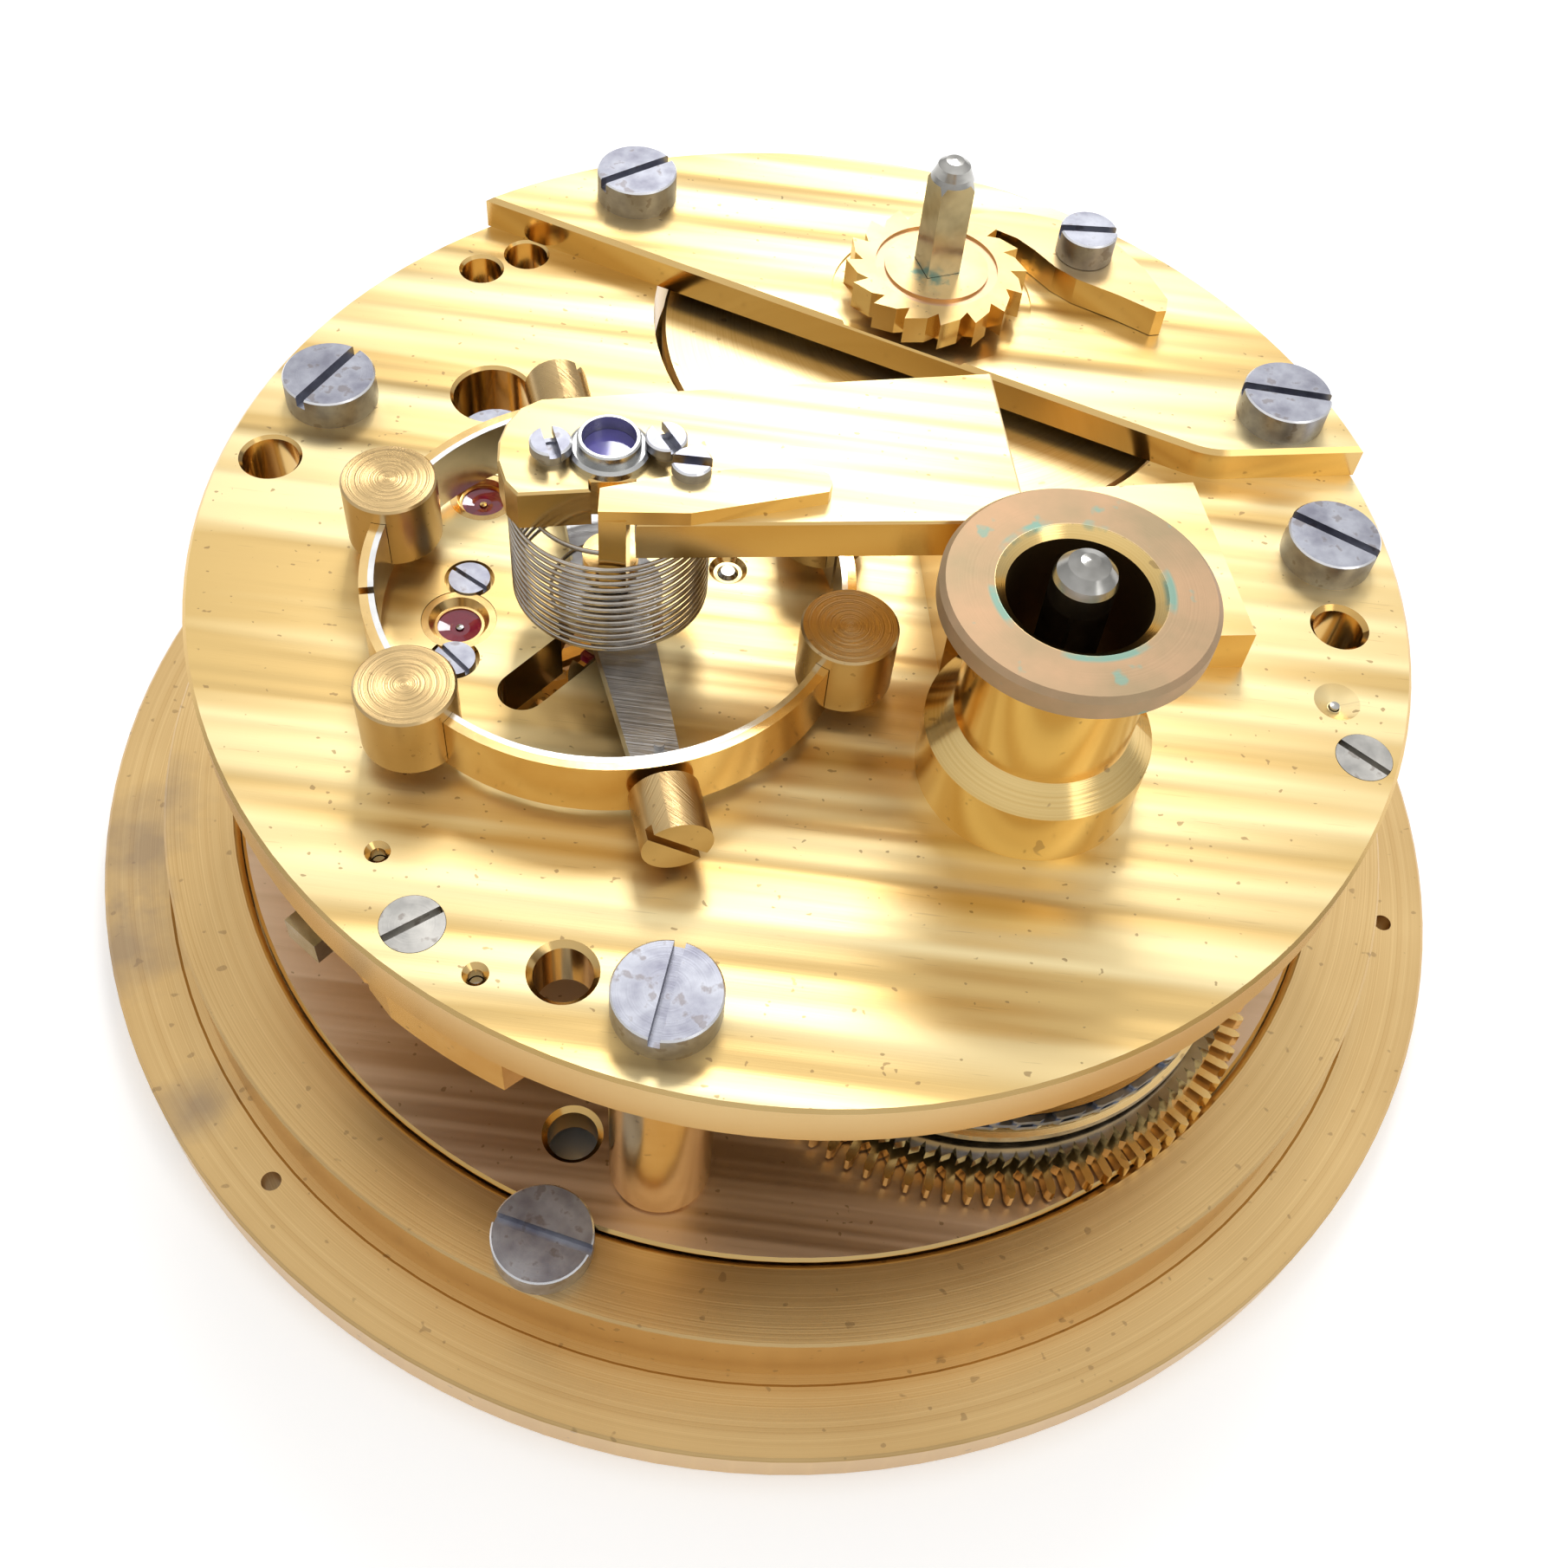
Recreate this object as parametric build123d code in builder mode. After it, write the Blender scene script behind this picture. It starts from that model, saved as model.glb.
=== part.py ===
from build123d import *

import os
from math import acos, atan2, ceil, cos, degrees, hypot, pi, radians, sin, tan

# A two-day marine chronometer movement with fusee and chain, spring detent
# escapement and split bimetallic balance.  It stands dial down on its dial
# ring: the origin is the centre of the ring's underside, +Z runs from the
# dial to the balance cock, and +Y points to the mainspring barrel.
# All sizes are in millimetres.

# ---------------------------------------------------------------- clearances
RUN = 0.06          # running clearance of a pivot or shaft, on the radius
SEAT = 0.03         # clearance of a fixed piece in its hole or recess
GAP = 0.30          # free space between pieces that pass each other
TOOTH_SHARE = 0.45  # tooth thickness as a share of the pitch
PRESSURE_ANGLE = 25.0

# ------------------------------------------------------------ dial ring
FLANGE_RADIUS = 57.0
FLANGE_THICKNESS = 3.93
RING_RADIUS = 51.0
RING_TOP = 10.2
PLATE_SEAT_RADIUS = 45.15
LEDGE_INNER_RADIUS = 43.2
DIAL_SEAT = 4.6
DIAL_BORE_RADIUS = 47.3
FLANGE_HOLE_CIRCLE = 53.4
FLANGE_HOLE_RADIUS = 0.75
FLANGE_HOLE_ANGLES = (-129.3, -6.5, 112.0)

# ------------------------------------------------------------ plates
PILLAR_PLATE_THICKNESS = 3.0
PILLAR_HEIGHT = 19.8
TOP_PLATE_RADIUS = 44.74
TOP_PLATE_THICKNESS = 4.4
PLATE_BOTTOM = RING_TOP - PILLAR_PLATE_THICKNESS
TOP_UNDER = RING_TOP + PILLAR_HEIGHT
TOP = TOP_UNDER + TOP_PLATE_THICKNESS
PILLAR_RADIUS = 3.65
PILLARS = ((-38.0, 9.9), (-5.1, -38.9), (39.0, 6.4), (-18.2, 35.6))
BRIDGE_THICKNESS = 2.8
BRIDGE_TOP = TOP + BRIDGE_THICKNESS
BRIDGE_SCREW = (35.4, 18.3)

# ------------------------------------------------------------ axes
CENTRE = (0.0, 0.0)
FUSEE = (16.45, -17.2)
BARREL = (7.3, 27.3)
STAFF = (-13.3, -9.0)
FOURTH = (-24.6, 1.45)
ESCAPE = (-23.85, -10.57)
THIRD = (-13.4, 9.15)
MINUTE = (0.0, 7.2)
UP_DOWN = (24.6, -1.45)
MAINTAIN = (38.7, -7.9)
STOP_ARM = (27.0, -33.4)
CLICK = (19.3, 32.1)
DOG_CIRCLE = 47.4
DOG_ANGLES = (-105.1, 14.9, 134.9)

# ------------------------------------------------------------ train
GREAT_TEETH = 90
CENTRE_LEAVES = 10
CENTRE_TEETH = 80
THIRD_LEAVES = 10
THIRD_TEETH = 75
FOURTH_LEAVES = 10
FOURTH_TEETH = 80
ESCAPE_LEAVES = 10
ESCAPE_TEETH = 15
CANNON_TEETH = 12
MINUTE_TEETH = 36
MINUTE_LEAVES = 10
HOUR_TEETH = 40
FUSEE_LEAVES = 10
UP_DOWN_TEETH = 76
RATCHET_TEETH = 16
MAINTAIN_TEETH = 110
ADDENDUM = 0.8
DEDENDUM = 1.15

GREAT_Z = (10.5, 11.9)
MAINTAIN_Z = (12.9, 14.0)
CENTRE_Z = (8.7, 9.7)
THIRD_Z = (12.2, 13.1)
FOURTH_Z = (22.0, 22.8)
ESCAPE_Z = (27.4, 28.2)
ESCAPE_RADIUS = 7.3

# ------------------------------------------------------------ fusee and barrel
FUSEE_BASE = 14.6
CHAIN_PITCH = 2.0
CHAIN_WIDTH = 1.3
CHAIN_THICKNESS = 1.1
FUSEE_TURNS = 6
FUSEE_LARGE = 17.2
FUSEE_SMALL = 9.0
TURNS_WOUND = 3
DRUM_RADIUS = 20.4
DRUM_BASE = 14.0
DRUM_TOP = 31.6
COVER_RADIUS = 21.9
COVER_TOP = 33.4
BITE_RADIUS = 22.6
SQUARE_SIDE = 2.76
BARREL_SQUARE_TOP = 50.1
FUSEE_SQUARE_TOP = 55.2

# ------------------------------------------------------------ balance
RIM_TOP = 39.9
RIM_HEIGHT = 4.5
RIM_OUTER = 16.9
RIM_INNER = 15.9
STEEL_SHARE = 0.4
WEIGHT_RADIUS = 3.33
WEIGHT_TOP = 41.0
WEIGHT_HEIGHT = 5.1
WEIGHT_CIRCLE = 17.0
WEIGHT_ANGLES = (163.8, 229.0, 348.9, 34.0)
RIM_CUTS = (196.4, 16.4)
ARM_ANGLE = 290.3
ARM_TOP = 38.2
ARM_THICKNESS = 1.6
NUT_RADIUS = 2.35
NUT_LENGTH = 4.2
NUT_START = 17.3
SPRING_RADIUS = 6.7
SPRING_BAND = 0.25
SPRING_BOTTOM = 38.55
SPRING_TOP = 49.5 - 2.1
IMPULSE_RADIUS = 3.2
DISCHARGE_RADIUS = 1.9

# ------------------------------------------------------------ cock and tube
COCK_TURN = 10.5
COCK_TOP = 50.8
COCK_THICKNESS = 3.0
FOOT_THICKNESS = 3.6
SETTING_RADIUS = 2.6
CUP_RADIUS = 2.05
TUBE_BASE_RADIUS = 7.58
TUBE_NECK_RADIUS = 5.9
TUBE_FLANGE_RADIUS = 8.57
TUBE_BORE_RADIUS = 4.55
TUBE_TOP = 52.7

# ------------------------------------------------------------ screws
HEAD_SLOT = 0.75
SLOT_DEPTH = 0.9
SHANK = 1.45
PILLAR_HEAD_RADIUS = 3.5
PILLAR_HEAD_HEIGHT = 2.4

# ------------------------------------------------------------ dial side
DIAL_THICKNESS = 0.8
DIAL_RADIUS = 47.0
DIAL_UNDER = DIAL_SEAT - DIAL_THICKNESS


# ============================================================ shared shapes
def polar(centre, radius, angle):
    """Point at a distance and a direction, in degrees, from a centre."""
    turn = radians(angle)
    return (centre[0] + radius * cos(turn), centre[1] + radius * sin(turn))


def distance(a, b):
    return hypot(b[0] - a[0], b[1] - a[1])


def direction(a, b):
    return degrees(atan2(b[1] - a[1], b[0] - a[0]))


def disc(radius, low, high, at=CENTRE, mode=Mode.ADD):
    """Round plate or rod between two heights."""
    with BuildSketch(Plane.XY.offset(low)) as flat:
        with Locations(at):
            Circle(radius)
    extrude(flat.sketch, amount=high - low, mode=mode)


def discs(places, radius, low, high, mode=Mode.ADD):
    """The same round rod at each place."""
    with BuildSketch(Plane.XY.offset(low)) as flat:
        with Locations(*places):
            Circle(radius)
    extrude(flat.sketch, amount=high - low, mode=mode)


def bar(length, width, low, high, at=CENTRE, angle=0.0, mode=Mode.ADD):
    """Straight bar centred on a point and turned about the upright axis."""
    with BuildSketch(Plane.XY.offset(low)) as flat:
        with Locations(Location((at[0], at[1], 0), (0, 0, 1), angle)):
            Rectangle(length, width)
    extrude(flat.sketch, amount=high - low, mode=mode)


def outline(points, low, high, mode=Mode.ADD):
    """Flat piece with straight edges between corners."""
    with BuildSketch(Plane.XY.offset(low)) as flat:
        with BuildLine():
            Polyline(*points, close=True)
        make_face()
    extrude(flat.sketch, amount=high - low, mode=mode)


def turned(profile, at=CENTRE, mode=Mode.ADD):
    """Solid of revolution about the upright axis from (radius, height) corners."""
    with BuildSketch(Plane(origin=(at[0], at[1], 0), x_dir=(1, 0, 0), z_dir=(0, -1, 0))) as flat:
        with BuildLine():
            Polyline(*profile, close=True)
        make_face()
    revolve(flat.sketch, axis=Axis((at[0], at[1], 0), (0, 0, 1)), mode=mode)


def save(piece, name):
    """Label one finished node and write its file."""
    piece.part.label = name
    export_step(piece.part, f"parts/{name}.step")


def involute(angle):
    return tan(angle) - angle


def tooth_corners(teeth, module, tip_radius, root_radius):
    """Half outline of a tooth as (radius, half angle): straight to the base circle,
    then the involute up to the tip."""
    pitch_radius = module * teeth / 2
    base_radius = pitch_radius * cos(radians(PRESSURE_ANGLE))
    at_pitch = TOOTH_SHARE * pi / teeth + involute(radians(PRESSURE_ANGLE))
    low = max(base_radius, root_radius)
    corners = [(root_radius, at_pitch)]
    for step in range(4):
        radius = low + (tip_radius - low) * step / 3
        corners.append((radius, at_pitch - involute(acos(base_radius / radius))))
    corners[0] = (root_radius, corners[1][1])
    if low == root_radius:
        corners = corners[1:]
    return corners


def straight_flanks(teeth, module, tip_radius, root_radius):
    """Tooth with radial flanks up to the pitch circle, then a rounded involute point."""
    pitch_radius = module * teeth / 2
    base_radius = pitch_radius * cos(radians(PRESSURE_ANGLE))
    at_pitch = TOOTH_SHARE * pi / teeth + involute(radians(PRESSURE_ANGLE))
    corners = [(root_radius, TOOTH_SHARE * pi / teeth)]
    for step in range(4):
        radius = pitch_radius + (tip_radius - pitch_radius) * step / 3
        corners.append((radius, at_pitch - involute(acos(base_radius / radius))))
    return corners


def gear_outline(teeth, corners, at, phase, gullet=0.0):
    """All corners of a toothed wheel; gullet deepens the middle of each root."""
    points = []
    for tooth in range(teeth):
        middle = phase + 360.0 * tooth / teeth
        if gullet:
            points.append(polar(at, corners[0][0] - gullet, middle - 180.0 / teeth))
        for radius, half in corners:
            points.append(polar(at, radius, middle - degrees(half)))
        for radius, half in reversed(corners):
            points.append(polar(at, radius, middle + degrees(half)))
    return points


def wheel(teeth, module, low, high, at, phase=0.0):
    """Toothed wheel or pinion with involute flanks."""
    pitch_radius = module * teeth / 2
    tip = pitch_radius + ADDENDUM * module
    root = pitch_radius - DEDENDUM * module
    outline(gear_outline(teeth, tooth_corners(teeth, module, tip, root), at, phase), low, high)


def saw_outline(teeth, tip, root, at, phase, lean):
    """Ratchet teeth: a long back that rises to the tip and a short working face."""
    points = []
    for tooth in range(teeth):
        middle = phase + 360.0 * tooth / teeth
        points.append(polar(at, root, middle - lean))
        points.append(polar(at, tip, middle))
        points.append(polar(at, (tip + root) / 2, middle + 0.62 * 360.0 / teeth))
    return points


def crossings(inner, outer, count, arm, low, high, at, turn=0.0):
    """Cut the windows between the arms of a wheel."""
    with BuildSketch(Plane.XY.offset(low)) as flat:
        with Locations(at):
            Circle(outer)
            Circle(inner, mode=Mode.SUBTRACT)
            with PolarLocations(outer / 2 + inner / 2, count, start_angle=turn):
                Rectangle(outer * 1.2, arm, mode=Mode.SUBTRACT)
    extrude(flat.sketch, amount=high - low, mode=Mode.SUBTRACT)


def meshed(a_at, a_teeth, a_phase, b_at, b_teeth):
    """Phase that puts a gap of wheel b over the tooth of wheel a on their centre line."""
    line = direction(a_at, b_at)
    a_pitch = 360.0 / a_teeth
    b_pitch = 360.0 / b_teeth
    a_part = ((line - a_phase) / a_pitch) % 1.0
    return line + 180.0 - (0.5 - a_part) * b_pitch


def slot_cut(at, top, radius, angle, width=HEAD_SLOT, depth=SLOT_DEPTH):
    """Screwdriver slot right across a head."""
    bar(2.4 * radius, width, top - depth, top + 0.2, at, angle, Mode.SUBTRACT)


def cheese_screw(at, seat, radius, height, angle, shank, reach):
    """Cheese-head screw: a straight head with a broken edge, a slot and a shank."""
    edge = 0.12
    top = seat + height
    turned(((0, seat), (radius, seat), (radius, top - edge), (radius - edge, top), (0, top)), at)
    disc(shank, seat - reach, seat, at)
    slot_cut(at, top, radius, angle)


# ============================================================ frame
def make_dial_ring():
    with BuildPart() as ring:
        turned((
            (DIAL_BORE_RADIUS, 0), (FLANGE_RADIUS - 0.3, 0), (FLANGE_RADIUS, 0.3),
            (FLANGE_RADIUS, FLANGE_THICKNESS - 0.25), (FLANGE_RADIUS - 0.25, FLANGE_THICKNESS),
            (RING_RADIUS + 0.9, FLANGE_THICKNESS), (RING_RADIUS + 0.7, FLANGE_THICKNESS - 0.15),
            (RING_RADIUS, FLANGE_THICKNESS - 0.15), (RING_RADIUS, RING_TOP - 0.2),
            (RING_RADIUS - 0.2, RING_TOP), (PLATE_SEAT_RADIUS + 0.45, RING_TOP),
            (PLATE_SEAT_RADIUS, RING_TOP - 0.45), (PLATE_SEAT_RADIUS, PLATE_BOTTOM),
            (LEDGE_INNER_RADIUS, PLATE_BOTTOM), (LEDGE_INNER_RADIUS, DIAL_SEAT),
            (DIAL_BORE_RADIUS, DIAL_SEAT),
        ))
        holes = [polar(CENTRE, FLANGE_HOLE_CIRCLE, angle) for angle in FLANGE_HOLE_ANGLES]
        discs(holes, FLANGE_HOLE_RADIUS, -1, FLANGE_THICKNESS + 1, Mode.SUBTRACT)
        dogs = [polar(CENTRE, DOG_CIRCLE, angle) for angle in DOG_ANGLES]
        discs(dogs, SHANK + SEAT, RING_TOP - 4.6, RING_TOP + 1, Mode.SUBTRACT)
    save(ring, "dial_ring")


def make_dog_screws():
    with BuildPart() as screws:
        for angle in DOG_ANGLES:
            at = polar(CENTRE, DOG_CIRCLE, angle)
            cheese_screw(at, RING_TOP, 3.6, 2.2, angle + 273.2, SHANK, 4.4)
    save(screws, "dog_screws")


def make_pillar_plate():
    recess = CENTRE_Z[0] - 0.35
    with BuildPart() as plate:
        turned((
            (0, PLATE_BOTTOM), (PLATE_SEAT_RADIUS - 0.15, PLATE_BOTTOM),
            (PLATE_SEAT_RADIUS - 0.15, RING_TOP - 0.25), (PLATE_SEAT_RADIUS - 0.4, RING_TOP), (0, RING_TOP),
        ))
        disc(15.4, recess, RING_TOP + 1, CENTRE, Mode.SUBTRACT)
        disc(2.7, recess, RING_TOP + 1, THIRD, Mode.SUBTRACT)
        discs(PILLARS, SHANK + SEAT, PLATE_BOTTOM - 1, RING_TOP + 1, Mode.SUBTRACT)
        discs(PILLARS, 2.6 + SEAT, PLATE_BOTTOM - 1, PLATE_BOTTOM + 1.4, Mode.SUBTRACT)
        small = 0.5 + RUN
        discs((ESCAPE, THIRD, UP_DOWN, MAINTAIN), small, PLATE_BOTTOM - 1, RING_TOP + 1, Mode.SUBTRACT)
        discs((FOURTH,), 0.7 + RUN, PLATE_BOTTOM - 1, RING_TOP + 1, Mode.SUBTRACT)
        discs((CENTRE, FUSEE, BARREL), 1.6 + RUN, PLATE_BOTTOM - 1, RING_TOP + 1, Mode.SUBTRACT)
        disc(1.0 + SEAT, PLATE_BOTTOM - 1, PLATE_BOTTOM + 1.6, MINUTE, Mode.SUBTRACT)
        turned(((0, PLATE_BOTTOM - 1), (1.85, PLATE_BOTTOM - 1), (1.85, RING_TOP - 0.4),
                (2.6, RING_TOP + 0.35), (0, RING_TOP + 0.35)), HOLE_BY_PILLAR, Mode.SUBTRACT)
    save(plate, "pillar_plate")


HOLE_BY_PILLAR = (-11.75, -37.3)


def make_pillars():
    base = RING_TOP
    with BuildPart() as pillars:
        for at in PILLARS:
            turned((
                (0, base), (PILLAR_RADIUS - 0.3, base), (PILLAR_RADIUS, base + 0.3),
                (PILLAR_RADIUS, TOP_UNDER - 0.3), (PILLAR_RADIUS - 0.3, TOP_UNDER), (0, TOP_UNDER),
            ), at)
        discs(PILLARS, SHANK + SEAT, base - 1, base + 6, Mode.SUBTRACT)
        discs(PILLARS, SHANK + SEAT, TOP_UNDER - 6, TOP_UNDER + 1, Mode.SUBTRACT)
    save(pillars, "pillars")


def make_pillar_foot_screws():
    with BuildPart() as screws:
        for at in PILLARS:
            disc(2.6, PLATE_BOTTOM, PLATE_BOTTOM + 1.4, at)
            disc(SHANK, PLATE_BOTTOM + 1.4, RING_TOP + 5.4, at)
            bar(6.5, 0.6, PLATE_BOTTOM - 1, PLATE_BOTTOM + 0.7, at, 30, Mode.SUBTRACT)
    save(screws, "pillar_foot_screws")


def make_plate_screws():
    """Cheese-head screws of the pillars, the barrel bridge and the balance cock."""
    slots = (66.2, 84.7, 154.0)
    through = BRIDGE_THICKNESS + TOP_PLATE_THICKNESS + 4
    with BuildPart() as screws:
        for at, angle in zip(PILLARS, slots):
            cheese_screw(at, TOP, PILLAR_HEAD_RADIUS, PILLAR_HEAD_HEIGHT, angle, SHANK,
                         TOP_PLATE_THICKNESS + 4)
        cheese_screw(PILLARS[3], BRIDGE_TOP, 3.3, 2.5, 40.3, SHANK, through)
        cheese_screw(BRIDGE_SCREW, BRIDGE_TOP, 3.45, 2.4, 177.9, SHANK, BRIDGE_THICKNESS + 3.2)
        cheese_screw(COCK_SCREW, TOP + FOOT_THICKNESS, 3.4, 2.4, 75.0, SHANK, FOOT_THICKNESS + 3.2)
    save(screws, "plate_screws")


# holes of the top plate: place, radius of the bore, radius of the chamfer
OPEN_HOLES = (
    ((-40.9, 2.8), 2.1, 2.35),
    ((-26.1, 12.5), 3.0, 3.25),
    ((-29.9, 27.1), 1.6, 1.85),
    ((-26.6, 29.6), 1.7, 1.9),
    ((-11.75, -37.3), 1.9, 2.3),
    ((-17.0, -38.2), 0.5, 0.85),
    ((-24.9, -30.4), 0.5, 0.85),
    ((39.5, -0.7), 1.85, 2.2),
)
FLAT_SCREWS = (((-21.55, -35.3), 2.07, 40.0), ((40.2, -12.65), 2.0, 145.0))
JEWEL_SETTINGS = ((FOURTH, 2.4), (ESCAPE, 2.62))
SETTING_SCREWS = ((-23.9, -6.7), (-23.45, -14.1))
POTENCE_PIN = (-5.7, -2.7)
SLOT_END = (-18.3, -16.1)
SLOT_WIDTH = 3.4
STAFF_HOLE = 3.7
FLAT_SCREW_DEPTH = 1.6


def make_top_plate():
    with BuildPart() as plate:
        turned((
            (0, TOP_UNDER), (TOP_PLATE_RADIUS - 0.4, TOP_UNDER), (TOP_PLATE_RADIUS, TOP_UNDER + 0.4),
            (TOP_PLATE_RADIUS, TOP - 0.25), (TOP_PLATE_RADIUS - 0.25, TOP), (0, TOP),
        ))
        disc(BITE_RADIUS, TOP_UNDER - 1, TOP + 1, BARREL, Mode.SUBTRACT)
        for at, bore, rim in OPEN_HOLES:
            flare = rim - bore
            turned(((0, TOP_UNDER - 1), (bore, TOP_UNDER - 1), (bore, TOP - flare),
                    (rim + flare, TOP + flare), (0, TOP + flare)), at, Mode.SUBTRACT)
        discs(PILLARS, SHANK + SEAT, TOP_UNDER - 1, TOP + 1, Mode.SUBTRACT)
        disc(SHANK + SEAT, TOP_UNDER + 0.8, TOP + 1, BRIDGE_SCREW, Mode.SUBTRACT)
        for at, radius, _ in FLAT_SCREWS:
            disc(radius + SEAT, TOP - FLAT_SCREW_DEPTH, TOP + 1, at, Mode.SUBTRACT)
            disc(1.2 + SEAT, TOP_UNDER - 1, TOP + 1, at, Mode.SUBTRACT)
        for at, radius in JEWEL_SETTINGS:
            disc(radius + SEAT, TOP - 1.5, TOP + 1, at, Mode.SUBTRACT)
            disc(radius - 0.5, TOP_UNDER - 1, TOP + 1, at, Mode.SUBTRACT)
        discs(SETTING_SCREWS, 1.78, TOP - 0.8, TOP + 1, Mode.SUBTRACT)
        discs(SETTING_SCREWS, 0.6 + SEAT, TOP - 3.2, TOP + 1, Mode.SUBTRACT)
        disc(STAFF_HOLE, TOP_UNDER - 1, TOP + 1, STAFF, Mode.SUBTRACT)
        length = distance(STAFF, SLOT_END)
        middle = polar(STAFF, length / 2, direction(STAFF, SLOT_END))
        bar(length, SLOT_WIDTH, TOP_UNDER - 1, TOP + 1, middle, direction(STAFF, SLOT_END), Mode.SUBTRACT)
        disc(SLOT_WIDTH / 2, TOP_UNDER - 1, TOP + 1, SLOT_END, Mode.SUBTRACT)
        disc(0.35 + RUN, TOP_UNDER - 1, TOP + 1, THIRD, Mode.SUBTRACT)
        disc(0.8 + RUN, TOP_UNDER - 1, TOP + 1, CENTRE, Mode.SUBTRACT)
        disc(0.35 + RUN, TOP_UNDER - 1, TOP + 1, MAINTAIN, Mode.SUBTRACT)
        turned(((0, TOP - 0.7), (0.5, TOP - 0.7), (1.75, TOP + 0.05), (0, TOP + 0.05)), MAINTAIN,
               Mode.SUBTRACT)
        disc(3.1, TOP_UNDER - 1, TOP + 1, FUSEE, Mode.SUBTRACT)
        disc(6.4 + SEAT, TOP - 1.4, TOP + 1, FUSEE, Mode.SUBTRACT)
        disc(0.75 + SEAT, TOP_UNDER - 1, TOP + 1, POTENCE_PIN, Mode.SUBTRACT)
        turned(((0, TOP - 0.35), (1.05, TOP - 0.35), (1.45, TOP + 0.05), (0, TOP + 0.05)),
               POTENCE_PIN, Mode.SUBTRACT)
        disc(SHANK + SEAT, TOP_UNDER + 0.8, TOP + 1, COCK_SCREW, Mode.SUBTRACT)
        discs(cock_pin_places(), 0.8 + SEAT, TOP_UNDER + 1, TOP + 1, Mode.SUBTRACT)
        disc(0.7 + SEAT, TOP_UNDER - 1, TOP_UNDER + 2.5, STOP_ARM, Mode.SUBTRACT)
        discs(bridge_pin_places(), 0.8 + SEAT, TOP_UNDER + 1, TOP + 1, Mode.SUBTRACT)
    save(plate, "top_plate")


def make_flat_screws():
    with BuildPart() as screws:
        for at, radius, angle in FLAT_SCREWS:
            disc(radius, TOP - FLAT_SCREW_DEPTH, TOP + 0.02, at)
            slot_cut(at, TOP + 0.02, radius, angle, 0.5, 0.7)
        disc(1.2, TOP_UNDER - 2.2, TOP - FLAT_SCREW_DEPTH, FLAT_SCREWS[0][0])
        disc(1.2, TOP_UNDER - 1.6, TOP - FLAT_SCREW_DEPTH, FLAT_SCREWS[1][0])
    save(screws, "flat_screws")


def make_jewel_settings():
    with BuildPart() as settings:
        for at, radius in JEWEL_SETTINGS:
            turned(((1.55, TOP - 1.5), (radius, TOP - 1.5), (radius, TOP - 0.05),
                    (radius - 0.5, TOP - 0.05),
                    (1.75, TOP - 0.6), (1.55, TOP - 0.6)), at)
        discs(SETTING_SCREWS, 1.5, TOP - 0.82, TOP + 1, Mode.SUBTRACT)
    save(settings, "jewel_settings")


# ============================================================ barrel bridge
CHORD_LEFT = (-30.4, 32.7)
CHORD_CORNER = (29.8, 12.9)
CHORD_RIGHT = (42.0, 15.6)


def bridge_pin_places():
    return ((-24.0, 34.5), (30.5, 19.5))


def make_barrel_bridge():
    reach = 12.0
    with BuildPart() as bridge:
        with BuildSketch(Plane.XY.offset(TOP)):
            Circle(TOP_PLATE_RADIUS)
            with BuildLine():
                left = polar(CHORD_LEFT, -reach, direction(CHORD_LEFT, CHORD_CORNER))
                right = polar(CHORD_RIGHT, reach, direction(CHORD_CORNER, CHORD_RIGHT))
                FilletPolyline(left, CHORD_CORNER, right, (right[0], 90), (left[0], 90), radius=6.0,
                               close=True)
            make_face(mode=Mode.INTERSECT)
        extrude(amount=BRIDGE_THICKNESS)
        rim = bridge.edges().group_by(Axis.Z)[-1]
        chamfer(rim, length=0.35)
        disc(8.2, BRIDGE_TOP - 0.2, BRIDGE_TOP + 1, BARREL, Mode.SUBTRACT)
        disc(2.3 + RUN, TOP - 1, BRIDGE_TOP + 1, BARREL, Mode.SUBTRACT)
        discs((PILLARS[3], BRIDGE_SCREW), SHANK + SEAT, TOP - 1, BRIDGE_TOP + 1, Mode.SUBTRACT)
        disc(1.3 + SEAT, TOP - 1, BRIDGE_TOP + 1, CLICK, Mode.SUBTRACT)
        discs(bridge_pin_places(), 0.8 + SEAT, TOP - 1, TOP + 1.6, Mode.SUBTRACT)
    save(bridge, "barrel_bridge")


RATCHET_Z = (BRIDGE_TOP + 0.7, BRIDGE_TOP + 3.1)
RATCHET_TIP = 7.3
RATCHET_ROOT = 5.95
CLICK_Z = (BRIDGE_TOP + 0.05, BRIDGE_TOP + 2.45)


def make_ratchet_wheel():
    low, high = RATCHET_Z
    with BuildPart() as ratchet:
        outline(saw_outline(RATCHET_TEETH, RATCHET_TIP, RATCHET_ROOT, BARREL, 5.2, 1.0), low, high)
        turned(((4.2, high - 0.25), (4.95, high - 0.25), (4.95, high + 1), (4.2, high + 1)), BARREL,
               Mode.SUBTRACT)
        bar(SQUARE_SIDE + 2 * SEAT, SQUARE_SIDE + 2 * SEAT, low - 1, high + 1, BARREL, 25.0, Mode.SUBTRACT)
    save(ratchet, "ratchet_wheel")


CLICK_OUTLINE = (
    (9.47, 33.43), (12.11, 33.65), (13.84, 32.89), (15.26, 31.67), (17.02, 29.8), (18.75, 28.6),
    (22.2, 27.25), (25.2, 25.8), (26.0, 26.05), (26.15, 27.5), (24.4, 30.9), (22.3, 33.5), (19.7, 35.2),
    (16.95, 36.1), (14.3, 36.4), (12.0, 36.2), (9.3, 35.0), (9.62, 34.45), (9.6, 34.2),
)


def make_click():
    low, high = CLICK_Z
    with BuildPart() as click:
        outline(CLICK_OUTLINE, low, high)
        disc(1.3 + RUN, low - 1, high + 1, CLICK, Mode.SUBTRACT)
    save(click, "ratchet_click")


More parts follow.
